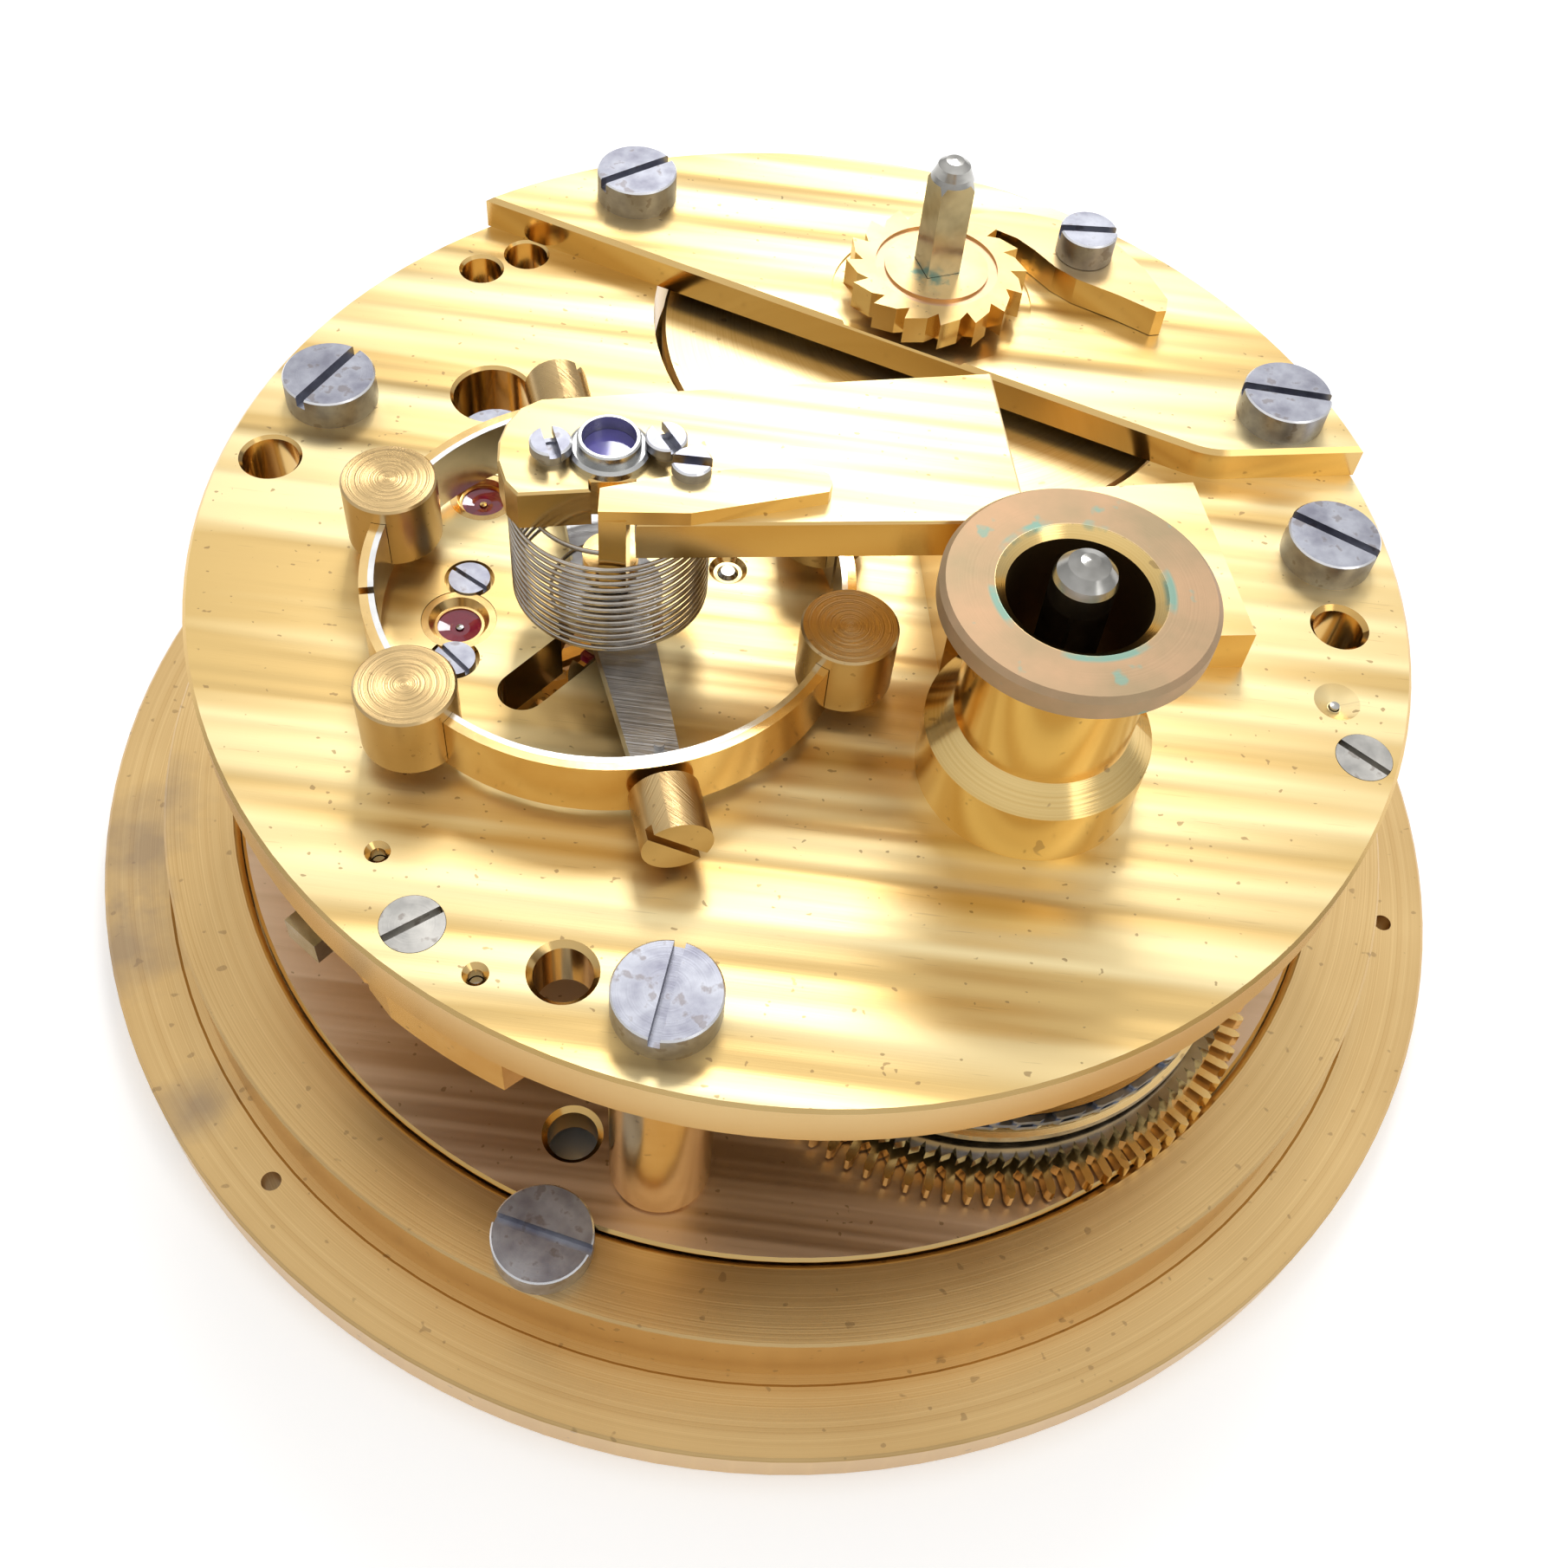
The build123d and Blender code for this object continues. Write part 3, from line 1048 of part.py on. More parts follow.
def make_balance_arm():
    low = ARM_TOP - ARM_THICKNESS
    half_hub = 3.4
    along = ARM_ANGLE
    reach = RIM_INNER + 0.02
    corners = []
    for side in (0, 180):
        for radius, half in ((half_hub, 2.1), (reach, 1.55)):
            corners.append(polar(polar(STAFF, radius, along + side), half, along + side - 90))
        for radius, half in ((reach, 1.55), (half_hub, 2.1)):
            corners.append(polar(polar(STAFF, radius, along + side), half, along + side + 90))
    with BuildPart() as arm:
        outline(corners, low, ARM_TOP)
        disc(3.6, low, ARM_TOP, STAFF)
        turned(((RIM_INNER - 0.005, low - 1), (RIM_OUTER + 2, low - 1), (RIM_OUTER + 2, ARM_TOP + 1),
                (RIM_INNER - 0.005, ARM_TOP + 1)), STAFF, Mode.SUBTRACT)
        disc(1.3 + SEAT, low - 1, ARM_TOP + 1, STAFF, Mode.SUBTRACT)
        for side in (0, 180):
            disc(0.35, ARM_TOP, ARM_TOP + 0.5, polar(STAFF, 14.2, along + side + 1.5))
    save(arm, "balance_arm")


def rim_layer(inner, outer):
    """Both half rims between two radii, split by the two cuts."""
    low = RIM_TOP - RIM_HEIGHT
    with BuildSketch(Plane.XY.offset(low)) as flat:
        with Locations(STAFF):
            Circle(outer)
            Circle(inner, mode=Mode.SUBTRACT)
    extrude(flat.sketch, amount=RIM_HEIGHT)
    for angle in RIM_CUTS:
        bar(5.0, 0.6, low - 1, RIM_TOP + 1, polar(STAFF, RIM_OUTER, angle), angle, Mode.SUBTRACT)
    for side in (0, 180):
        bar(3.0, 1.0, low + 1.6, low + 2.6, polar(STAFF, RIM_OUTER, ARM_ANGLE + side), ARM_ANGLE + side,
            Mode.SUBTRACT)


def make_balance_rims():
    joint = RIM_INNER + STEEL_SHARE * (RIM_OUTER - RIM_INNER)
    with BuildPart() as steel:
        rim_layer(RIM_INNER, joint)
    save(steel, "balance_rim_steel")
    with BuildPart() as brass:
        rim_layer(joint + 0.001, RIM_OUTER)
    save(brass, "balance_rim_brass")


def make_weights():
    low = WEIGHT_TOP - WEIGHT_HEIGHT
    edge = 0.15
    with BuildPart() as weights:
        for angle in WEIGHT_ANGLES:
            turned(((0, low), (WEIGHT_RADIUS, low), (WEIGHT_RADIUS, WEIGHT_TOP - edge),
                    (WEIGHT_RADIUS - edge, WEIGHT_TOP), (0, WEIGHT_TOP)),
                    polar(STAFF, WEIGHT_CIRCLE, angle))
        with BuildSketch(Plane.XY.offset(low - 1)):
            with Locations(STAFF):
                Circle(RIM_OUTER + SEAT)
                Circle(RIM_INNER - SEAT, mode=Mode.SUBTRACT)
        extrude(amount=RIM_TOP + SEAT - low + 1, mode=Mode.SUBTRACT)
    save(weights, "compensation_weights")


def radial_plane(angle, radius, level):
    """Plane square to a radius of the balance."""
    turn = radians(angle)
    at = polar(STAFF, radius, angle)
    return Plane(origin=(at[0], at[1], level), x_dir=(0, 0, 1), z_dir=(cos(turn), sin(turn), 0))


NUT_LEVEL = RIM_TOP - RIM_HEIGHT + 2.1


def make_timing_nuts():
    """Two slotted nuts on their studs, at the ends of the arm."""
    with BuildPart() as nuts:
        for side in (0, 180):
            angle = ARM_ANGLE + side
            with BuildSketch(radial_plane(angle, NUT_START, NUT_LEVEL)):
                Circle(NUT_RADIUS)
            extrude(amount=NUT_LENGTH)
            with BuildSketch(radial_plane(angle, NUT_START - 1, NUT_LEVEL)):
                Circle(0.45 + SEAT)
            extrude(amount=4.0, mode=Mode.SUBTRACT)
            with BuildSketch(radial_plane(angle, NUT_START + NUT_LENGTH - 0.8, NUT_LEVEL)):
                Rectangle(0.6, 6.0, rotation=-42)
            extrude(amount=1.5, mode=Mode.SUBTRACT)
            with BuildSketch(radial_plane(angle, RIM_INNER + 0.06, NUT_LEVEL)):
                Circle(0.45)
            extrude(amount=NUT_START + 2.6 - RIM_INNER)
    save(nuts, "timing_nuts")


def make_rollers():
    with BuildPart() as rollers:
        disc(IMPULSE_RADIUS, ESCAPE_Z[0] - 0.1, ESCAPE_Z[1] + 0.1, STAFF)
        disc(0.8 + SEAT, ESCAPE_Z[0] - 1, ESCAPE_Z[1] + 1, STAFF, Mode.SUBTRACT)
        bar(1.6, 1.3, ESCAPE_Z[0] - 1, ESCAPE_Z[1] + 1, polar(STAFF, IMPULSE_RADIUS - 0.3, 150), 150,
            Mode.SUBTRACT)
        disc(DISCHARGE_RADIUS, DETENT_Z[0], DETENT_Z[1] - 0.2, STAFF)
        disc(0.8 + SEAT, DETENT_Z[0] - 1, DETENT_Z[1] + 0.4, STAFF, Mode.SUBTRACT)
    save(rollers, "balance_rollers")
    with BuildPart() as stone:
        bar(1.0, 0.4, ESCAPE_Z[0], ESCAPE_Z[1], polar(polar(STAFF, IMPULSE_RADIUS - 0.54, 150), 0.44, 60),
            150)
    save(stone, "impulse_stone")


def make_balance_spring():
    """Envelope of the cylindrical spring: a thin tube between collet and stud level."""
    with BuildPart() as spring:
        turned(((SPRING_RADIUS - SPRING_BAND, SPRING_BOTTOM), (SPRING_RADIUS, SPRING_BOTTOM),
                (SPRING_RADIUS, SPRING_TOP), (SPRING_RADIUS - SPRING_BAND, SPRING_TOP)), STAFF)
    save(spring, "balance_spring")


# ============================================================ small levers
def make_maintaining_detent():
    """Arbor with a pawl that rides on the maintaining ratchet."""
    low, high = MAINTAIN_Z
    line = direction(MAINTAIN, FUSEE)
    span = distance(MAINTAIN, FUSEE)
    nose = polar(FUSEE, 20.0 + 0.12, direction(FUSEE, MAINTAIN) - 14)
    back = polar(FUSEE, 21.0, direction(FUSEE, MAINTAIN) - 13)
    with BuildPart() as detent:
        turned(((0, PLATE_BOTTOM + 0.4), (0.5, PLATE_BOTTOM + 0.4), (0.5, RING_TOP + 0.2),
                (0.8, RING_TOP + 0.2),
                (0.8, TOP_UNDER - 0.2), (0.35, TOP_UNDER - 0.2), (0.35, TOP - 0.45), (0, TOP - 0.4)),
                MAINTAIN)
        disc(1.6, low + 0.1, high - 0.1, MAINTAIN)
        side = polar(MAINTAIN, 1.5, line + 90)
        other = polar(MAINTAIN, 1.5, line - 90)
        outline((side, back, nose, other), low + 0.1, high - 0.1)
    save(detent, "maintaining_detent")


def make_stop_arm():
    """Stop lever under the top plate that the last turn of chain lifts."""
    low = TOP_UNDER - 1.3
    line = direction(STOP_ARM, FUSEE)
    with BuildPart() as arm:
        turned(((0, low - 0.6), (1.4, low - 0.6), (1.4, TOP_UNDER - 0.2), (0.7, TOP_UNDER - 0.2),
                (0.7, TOP_UNDER + 2.2),
                (0, TOP_UNDER + 2.2)), STOP_ARM)
        bar(9.0, 1.8, low, TOP_UNDER - 0.25, polar(STOP_ARM, 4.5, line), line)
    save(arm, "fusee_stop_arm")


# ============================================================ dial side
def make_minute_work():
    with BuildPart() as minute:
        wheel(MINUTE_TEETH, MOTION_MODULE, 6.1, 6.8, MINUTE, MINUTE_PHASE)
        wheel(MINUTE_LEAVES, HOUR_MODULE, 4.9, 6.1, MINUTE, 0.0)
        disc(0.6 + RUN, 4, 8, MINUTE, Mode.SUBTRACT)
    save(minute, "minute_wheel")


def make_cannon_pinion():
    with BuildPart() as cannon:
        wheel(CANNON_TEETH, MOTION_MODULE, 5.95, 6.95, CENTRE)
        disc(1.15, 0.8, 6.0, CENTRE)
        disc(0.62 + SEAT, 0, 8, CENTRE, Mode.SUBTRACT)
    save(cannon, "cannon_pinion")


def make_hour_wheel():
    with BuildPart() as hour:
        wheel(HOUR_TEETH, HOUR_MODULE, 5.0, 5.7, CENTRE, HOUR_PHASE)
        disc(1.75, 1.8, 5.0, CENTRE)
        disc(1.15 + RUN, 0, 8, CENTRE, Mode.SUBTRACT)
    save(hour, "hour_wheel")


def hand(name, at, bore, low, high, length, width, angle, tail):
    """Flat hand with a boss, a tapering blade and a short tail."""
    with BuildPart() as piece:
        root = polar(at, bore + 1.0, angle)
        tip = polar(at, length, angle)
        end = polar(at, tail, angle + 180)
        outline((polar(root, width / 2, angle - 90), tip, polar(root, width / 2, angle + 90),
                 polar(end, width / 3, angle + 90), polar(end, width / 3, angle - 90)), low, high)
        disc(bore + 1.2, low, high, at)
        disc(bore, low - 1, high + 1, at, Mode.SUBTRACT)
    save(piece, name)


def make_hands():
    hand("minute_hand", CENTRE, 1.15 + SEAT, 0.85, 1.25, 34.0, 2.0, 60.0, 6.0)
    hand("hour_hand", CENTRE, 1.75 + SEAT, 1.85, 2.25, 22.0, 2.6, 150.0, 5.0)
    hand("seconds_hand", FOURTH, 0.35 + SEAT, 2.8, 3.1, 11.0, 1.0, 200.0, 4.0)
    hand("up_down_hand", UP_DOWN, 0.4 + SEAT, 2.8, 3.1, 9.0, 1.2, 90.0, 3.0)


def make_up_down_wheel():
    with BuildPart() as up_down:
        wheel(UP_DOWN_TEETH, UP_DOWN_MODULE, 5.9, 6.7, UP_DOWN, 0.0)
        crossings(3.0, 13.2, 4, 1.4, 5.9, 6.7, UP_DOWN)
        turned(((0, 2.75), (0.4, 2.75), (0.4, 4.75), (0.9, 4.75), (0.9, 6.95), (0.5, 6.95),
                (0.5, RING_TOP - 0.3),
                (0, RING_TOP - 0.3)), UP_DOWN)
    save(up_down, "up_down_wheel")


def make_dial():
    with BuildPart() as dial:
        disc(DIAL_RADIUS, DIAL_UNDER, DIAL_SEAT)
        disc(1.75 + GAP / 2, 0, 6, CENTRE, Mode.SUBTRACT)
        disc(0.35 + GAP / 2, 0, 6, FOURTH, Mode.SUBTRACT)
        disc(0.4 + GAP / 2, 0, 6, UP_DOWN, Mode.SUBTRACT)
        for angle in (35, 155, 275):
            disc(1.2, DIAL_SEAT, PLATE_BOTTOM, polar(CENTRE, 40.5, angle))
    save(dial, "dial")


# ============================================================ build
os.makedirs("parts", exist_ok=True)
make_dial_ring()
make_dog_screws()
make_pillar_plate()
make_pillars()
make_pillar_foot_screws()
make_plate_screws()
make_top_plate()
make_flat_screws()
make_jewel_settings()
make_barrel_bridge()
make_ratchet_wheel()
make_click()
make_click_screw()
make_balance_cock()
make_cap_setting()
make_cap_jewel()
make_bearing_jewels()
make_small_screws()
make_stud_holder()
make_potence()
make_detent_foot()
make_pins()
make_spring_detent()
make_winding_tube()
make_great_wheel()
make_maintaining_ratchet()
make_fusee_cone()
make_fusee_arbor()
make_chain()
make_barrel_drum()
make_barrel_cover()
make_barrel_arbor()
make_mainspring()
make_centre_wheel()
make_centre_arbor()
make_third_wheel()
make_fourth_wheel()
make_escape_wheel()
make_escape_arbor()
make_balance_staff()
make_spring_collet()
make_balance_arm()
make_balance_rims()
make_weights()
make_timing_nuts()
make_rollers()
make_balance_spring()
make_maintaining_detent()
make_stop_arm()
make_minute_work()
make_cannon_pinion()
make_hour_wheel()
make_hands()
make_up_down_wheel()
make_dial()
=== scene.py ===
# %% [markdown]
# # Marine chronometer movement
# A two-day chronometer movement stands dial down on its dial ring. The CAD frame already holds
# every brass and steel piece at its real size, so this lesson is mostly about finish: grained and
# lacquered brass, tarnished steel screws and jewels. Two pieces that CAD keeps plain, the balance
# spring and the fusee chain, are worked out here with numpy.

# %% Load the frame
import math
import bpy
import numpy as np
from mathutils import Matrix, Vector


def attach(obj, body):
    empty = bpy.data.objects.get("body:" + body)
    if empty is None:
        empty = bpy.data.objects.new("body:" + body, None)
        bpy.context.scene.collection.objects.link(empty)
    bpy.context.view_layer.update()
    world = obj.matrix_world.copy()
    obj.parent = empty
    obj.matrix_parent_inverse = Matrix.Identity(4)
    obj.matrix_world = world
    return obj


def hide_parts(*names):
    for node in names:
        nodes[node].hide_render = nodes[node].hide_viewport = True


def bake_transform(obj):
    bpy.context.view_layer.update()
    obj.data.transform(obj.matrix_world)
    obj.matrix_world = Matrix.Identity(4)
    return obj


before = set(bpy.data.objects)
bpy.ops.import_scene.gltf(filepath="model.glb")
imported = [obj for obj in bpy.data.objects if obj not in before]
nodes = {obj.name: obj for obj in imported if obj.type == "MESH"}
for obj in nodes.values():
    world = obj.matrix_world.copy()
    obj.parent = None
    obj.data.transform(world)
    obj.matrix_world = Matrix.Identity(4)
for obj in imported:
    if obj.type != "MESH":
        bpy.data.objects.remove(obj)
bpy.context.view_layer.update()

MM = 0.001

# %% [markdown]
# ## Camera
# The camera looks down over the front edge of the movement, a hand's breadth away, and is rolled
# by seven degrees. Its direction is built from two angles, and the roll turns right and up about it.

# %% Camera
CAMERA_PLACE = Vector((0.0, -88.47 * MM, 128.88 * MM))
CAMERA_DOWN = 0.952
CAMERA_ROLL = 0.126
LENS = 39.84

forward = Vector((0.0, math.cos(CAMERA_DOWN), -math.sin(CAMERA_DOWN)))
level_right = Vector((1.0, 0.0, 0.0))
level_up = level_right.cross(forward)
right = level_right * math.cos(CAMERA_ROLL) + level_up * math.sin(CAMERA_ROLL)
up = level_up * math.cos(CAMERA_ROLL) - level_right * math.sin(CAMERA_ROLL)

camera_data = bpy.data.cameras.new("camera")
camera_data.lens = LENS
camera_data.sensor_width = 36.0
camera_data.clip_start = 0.001
camera = bpy.data.objects.new("camera", camera_data)
camera.matrix_world = Matrix((
    (right.x, up.x, -forward.x, CAMERA_PLACE.x),
    (right.y, up.y, -forward.y, CAMERA_PLACE.y),
    (right.z, up.z, -forward.z, CAMERA_PLACE.z),
    (0.0, 0.0, 0.0, 1.0),
))
bpy.context.scene.collection.objects.link(camera)
bpy.context.scene.camera = camera

# %% [markdown]
# ## Studio
# Brass is a mirror with a colour: what it shows is the room. The room is a pale dome that gets a
# little darker towards the horizon, so upright walls read deeper than the plates, and two soft
# panels give the broad highlights. The floor is a plain pale sheet with a faint light of its own.

# %% Light and floor
HIGH_LIGHT = 0.95
LOW_LIGHT = 0.46

world = bpy.data.worlds.new("studio")
world.use_nodes = True
sky = world.node_tree
direction = sky.nodes.new("ShaderNodeTexCoord")
height = sky.nodes.new("ShaderNodeSeparateXYZ")
shade = sky.nodes.new("ShaderNodeMapRange")
shade.inputs["From Max"].default_value = 0.8
shade.inputs["To Min"].default_value = LOW_LIGHT
shade.inputs["To Max"].default_value = HIGH_LIGHT
sky.links.new(direction.outputs["Generated"], height.inputs["Vector"])
sky.links.new(height.outputs["Z"], shade.inputs["Value"])
sky.links.new(shade.outputs["Result"], sky.nodes["Background"].inputs["Strength"])
sky.nodes["Background"].inputs["Color"].default_value = (1.0, 1.0, 1.0, 1.0)
bpy.context.scene.world = world
bpy.context.scene.view_settings.view_transform = "Standard"


def panel(name, place, size, power):
    """Soft square light that faces the middle of the movement."""
    data = bpy.data.lights.new(name, "AREA")
    data.size = size
    data.energy = power
    light = bpy.data.objects.new(name, data)
    light.location = place
    aim = Vector((0.0, 0.0, 0.03)) - Vector(place)
    light.rotation_euler = aim.to_track_quat("-Z", "Y").to_euler()
    bpy.context.scene.collection.objects.link(light)


panel("panel_back", (0.00, 0.42, 0.52), 0.18, 1.1)
panel("panel_side", (0.40, -0.30, 0.40), 0.24, 0.25)

# %% [markdown]
# ## Surfaces from two parameters
# Every new piece here is a grid: one parameter runs along a path, the other round a section. One
# helper turns such a grid of points into a mesh, and joins its far edges where it closes on itself.

# %% Grid helper
def grid_mesh(name, points, closed_along=False, closed_round=True, capped=False):
    """Mesh from an array (along, round, 3): a quad joins each point to its three next neighbours."""
    along, around = points.shape[:2]
    i = np.arange(along if closed_along else along - 1)[:, None]
    j = np.arange(around if closed_round else around - 1)[None, :]
    corner = lambda a, b: (a % along) * around + b % around
    quads = np.stack([corner(i, j), corner(i, j + 1), corner(i + 1, j + 1), corner(i + 1, j)], axis=-1)
    faces = quads.reshape(-1, 4).tolist()
    if capped:
        faces.append(list(range(around))[::-1])
        faces.append(list(range((along - 1) * around, along * around)))
    mesh = bpy.data.meshes.new(name)
    mesh.from_pydata(points.reshape(-1, 3).tolist(), [], faces)
    mesh.polygons.foreach_set("use_smooth", np.ones(len(mesh.polygons), bool))
    piece = bpy.data.objects.new(name, mesh)
    bpy.context.scene.collection.objects.link(piece)
    print(name, len(mesh.polygons), "faces")
    return piece


def tube_along(path, section):
    """Section (across, up) carried along a path: across is level and square to the path's run."""
    run = np.gradient(path, axis=0)
    across = np.stack([run[:, 1], -run[:, 0], np.zeros(len(run))], axis=1)
    across /= np.linalg.norm(across, axis=1, keepdims=True)
    upright = np.array([0.0, 0.0, 1.0])
    return (path[:, None, :] + section[None, :, :1] * across[:, None, :]
            + section[None, :, 1:] * upright[None, None, :])


def disc_points(radius, count, height, centre=(0.0, 0.0)):
    """Points of one level circle."""
    angle = np.linspace(0.0, 2.0 * np.pi, count, endpoint=False)
    return np.stack([centre[0] + radius * np.cos(angle), centre[1] + radius * np.sin(angle),
                     np.full(count, height)], axis=1)


floor_radii = np.array([0.0001, 0.05, 0.2, 0.6, 1.5, 4.0])
floor = grid_mesh("floor", np.stack([disc_points(r, 48, 0.0) for r in floor_radii])[::-1])

# %% [markdown]
# ## Shader maths
# A finish is easier to read as a formula than as a web of nodes. `Value` wraps a node's output so
# that sums, products and powers of it add Math nodes, and `Finish` owns one material: it makes any
# other node from a type, its settings and its inputs. Colours are mixed by Mix nodes only.

# %% Value and Finish
class Value:
    """A number or colour that a node works out."""

    def __init__(self, finish, socket):
        self.finish = finish
        self.socket = socket

    def math(self, operation, other, swapped=False):
        pair = (other, self) if swapped else (self, other)
        return self.finish.node("ShaderNodeMath", {"operation": operation}, {0: pair[0], 1: pair[1]})

    def __add__(self, other):
        return self.math("ADD", other)

    def __sub__(self, other):
        return self.math("SUBTRACT", other)

    def __rsub__(self, other):
        return self.math("SUBTRACT", other, True)

    def __mul__(self, other):
        return self.math("MULTIPLY", other)

    def __truediv__(self, other):
        return self.math("DIVIDE", other)

    def __pow__(self, other):
        return self.math("POWER", other)

    __radd__ = __add__
    __rmul__ = __mul__

    def clip(self):
        return self.math("MAXIMUM", 0.0).math("MINIMUM", 1.0)

    def above(self, edge, soft):
        """0 below the edge and 1 above it, with a soft step between."""
        return ((self - edge) / soft + 0.5).clip()

    def between(self, low, high, soft):
        return self.above(low, soft) * (1.0 - self.above(high, soft))


class Finish:
    """One material and its Principled shader."""

    def __init__(self, name, **fixed):
        self.material = bpy.data.materials.new(name)
        self.material.use_nodes = True
        self.tree = self.material.node_tree
        self.shader = self.tree.nodes["Principled BSDF"]
        self.place = self.node("ShaderNodeTexCoord", {}, {}, "Object")
        self.set(**fixed)

    def node(self, kind, settings, inputs, output=0):
        node = self.tree.nodes.new(kind)
        for key, value in settings.items():
            setattr(node, key, value)
        for key, value in inputs.items():
            self.feed(node.inputs[key], value)
        return Value(self, node.outputs[output])

    def feed(self, socket, value):
        if isinstance(value, Value):
            self.tree.links.new(value.socket, socket)
        elif isinstance(value, tuple) and socket.type == "RGBA":
            socket.default_value = (*value[:3], 1.0)
        else:
            socket.default_value = value

    def set(self, **sockets):
        for name, value in sockets.items():
            self.feed(self.shader.inputs[name.replace("_", " ")], value)

    def noise(self, scale, detail=2.0, shift=(0.0, 0.0, 0.0)):
        """Soft random value; scale is how often it changes per metre along x, y and z."""
        place = self.node("ShaderNodeMapping", {},
                          {"Vector": self.place, "Scale": scale, "Location": shift})
        return self.node("ShaderNodeTexNoise", {}, {"Vector": place, "Scale": 1.0, "Detail": detail}, 0)

    def along(self, axis, vector=None):
        """One coordinate of the place, in metres."""
        return self.node("ShaderNodeSeparateXYZ", {}, {0: vector or self.place}, axis)

    def upward(self):
        """1 where the surface faces up or down, 0 on an upright wall."""
        normal = self.node("ShaderNodeNewGeometry", {}, {}, "Normal")
        tilt = self.along("Z", normal)
        return tilt.math("ABSOLUTE", 0.0)

    def radius(self, centre):
        """Distance in millimetres from an upright axis."""
        east = self.along("X") / MM - centre[0]
        north = self.along("Y") / MM - centre[1]
        return (east * east + north * north) ** 0.5

    def nearest(self, centres):
        """Distance in millimetres from the nearest of several upright axes."""
        best = self.radius(centres[0])
        for centre in centres[1:]:
            best = best.math("MINIMUM", self.radius(centre))
        return best

    def turned_grain(self, radius, pitch):
        """Fine rings of a lathe tool, as a random value that changes with the radius alone."""
        spot = self.node("ShaderNodeCombineXYZ", {}, {0: radius / pitch})
        return self.node("ShaderNodeTexNoise", {}, {"Vector": spot, "Scale": 1.0, "Detail": 3.0}, 0)

    def mix(self, share, first, second):
        return self.node("ShaderNodeMix", {"data_type": "RGBA"}, {0: share, 6: first, 7: second}, 2)

    def bump(self, height, depth):
        """Raise the surface by up to depth millimetres where height is 1."""
        normal = self.node("ShaderNodeBump", {},
                           {"Strength": 1.0, "Distance": depth * MM, "Height": height})
        self.set(Normal=normal)


# deeper golds for upright walls: a painted reflection of the brass around them, laid into the colour
MID_WALL_REFLECTION = (0.80, 0.58, 0.26)
DEEP_WALL_REFLECTION = (0.66, 0.40, 0.12)
TARNISH = (0.30, 0.19, 0.09)

# places in millimetres, the same as in the CAD
CENTRE = (0.0, 0.0)
FUSEE = (16.45, -17.2)
BARREL = (7.3, 27.3)
STAFF = (-13.3, -9.0)

floor_finish = Finish("floor_white", Roughness=0.9)
floor_finish.set(Base_Color=(0.95, 0.95, 0.95), Emission_Color=(1.0, 1.0, 1.0), Emission_Strength=0.22)
floor.data.materials.append(floor_finish.material)

# %% [markdown]
# ## Grained brass
# The plates, the bridge and the cock were surfaced with one broad cutter and lacquered. The cutter
# leaves soft bands a few millimetres wide that run one way, and a much finer grain along them. The
# bands are one stretched noise, the grain a second, and a third gives the dark pinpricks of age.
# Walls were polished instead, so the way a face points decides between the two finishes: walls are
# smoother, and their deeper gold is a painted reflection of the brass around them.

# %% Grained brass
def grained_brass(name, pale, deep, band=300.0, wave=0.62):
    brass = Finish(name, Metallic=1.0)
    bands = brass.noise((16.0, band, 60.0), 1.0)
    wide = brass.noise((9.0, band / 2.6, 60.0), 1.0, (3.0, 1.0, 0.0))
    grain = brass.noise((90.0, 9000.0, 400.0), 2.0)
    cloud = brass.noise((38.0, 45.0, 45.0), 3.0)
    pinpricks = brass.noise((1400.0, 1700.0, 1500.0), 1.0).above(0.745, 0.02)
    scratch = brass.noise((260.0, 5200.0, 300.0), 1.0, (5.0, 2.0, 0.0)).above(0.74, 0.03)
    top = brass.upward().above(0.8, 0.1)
    share = (bands * 1.15 + wide * 0.3 + cloud * 0.1 - 0.28).above(0.5, 0.30)
    face = brass.mix(share, deep, pale)
    face = brass.mix((pinpricks * 0.65 + scratch * 0.18).clip(), face, TARNISH)
    # painted reflection: upright walls get a deeper gold than the faces, as brass reflecting brass
    wall = brass.mix(cloud.above(0.5, 0.5), DEEP_WALL_REFLECTION, MID_WALL_REFLECTION)
    brass.set(
        Base_Color=brass.mix(top, wall, face),
        Roughness=top * (0.16 + 0.08 * share + 0.06 * grain) + 0.17,
    )
    brass.bump((bands * 1.0 + wide * 0.6 + grain * 0.006) * top, wave)
    return brass


plate_finish = grained_brass("plate_grained_brass", (0.97, 0.80, 0.44), (0.72, 0.50, 0.20))
for name in ("top_plate", "barrel_bridge", "balance_cock", "spring_stud_holder", "balance_potence"):
    nodes[name].data.materials.clear()
    nodes[name].data.materials.append(plate_finish.material)
lower_finish = grained_brass("lower_plate_brass", (0.70, 0.50, 0.33), (0.58, 0.40, 0.25), 900.0, 0.05)

# %% [markdown]
# ## Turned brass
# The dial ring and the barrel were finished on a lathe, so their grain runs in circles: a noise
# that depends only on the distance from the axis. Age shows as brown stains where hands and damp
# reached the flange.

# %% Turned brass
def dress(finish, *names):
    """Give these CAD pieces one finish."""
    for name in names:
        nodes[name].data.materials.clear()
        nodes[name].data.materials.append(finish.material)


def turned_brass(name, centre, pale, deep, rough, pitch=0.11):
    brass = Finish(name, Metallic=1.0)
    radius = brass.radius(centre)
    rings = brass.turned_grain(radius, pitch)
    broad = brass.turned_grain(radius, pitch * 6.0)
    cloud = brass.noise((60.0, 60.0, 60.0), 3.0)
    share = (rings * 0.7 + broad * 0.5 + cloud * 0.4 - 0.3).above(0.5, 0.5)
    colour = brass.mix(share, deep, pale)
    pinpricks = brass.noise((900.0, 1000.0, 900.0), 1.0).above(0.73, 0.03)
    brass.set(
        Base_Color=brass.mix(pinpricks * 0.5, colour, TARNISH),
        Roughness=rough + 0.12 * rings + 0.1 * cloud,
    )
    brass.bump(rings * 0.5 + broad * 0.5, 0.012)
    return brass


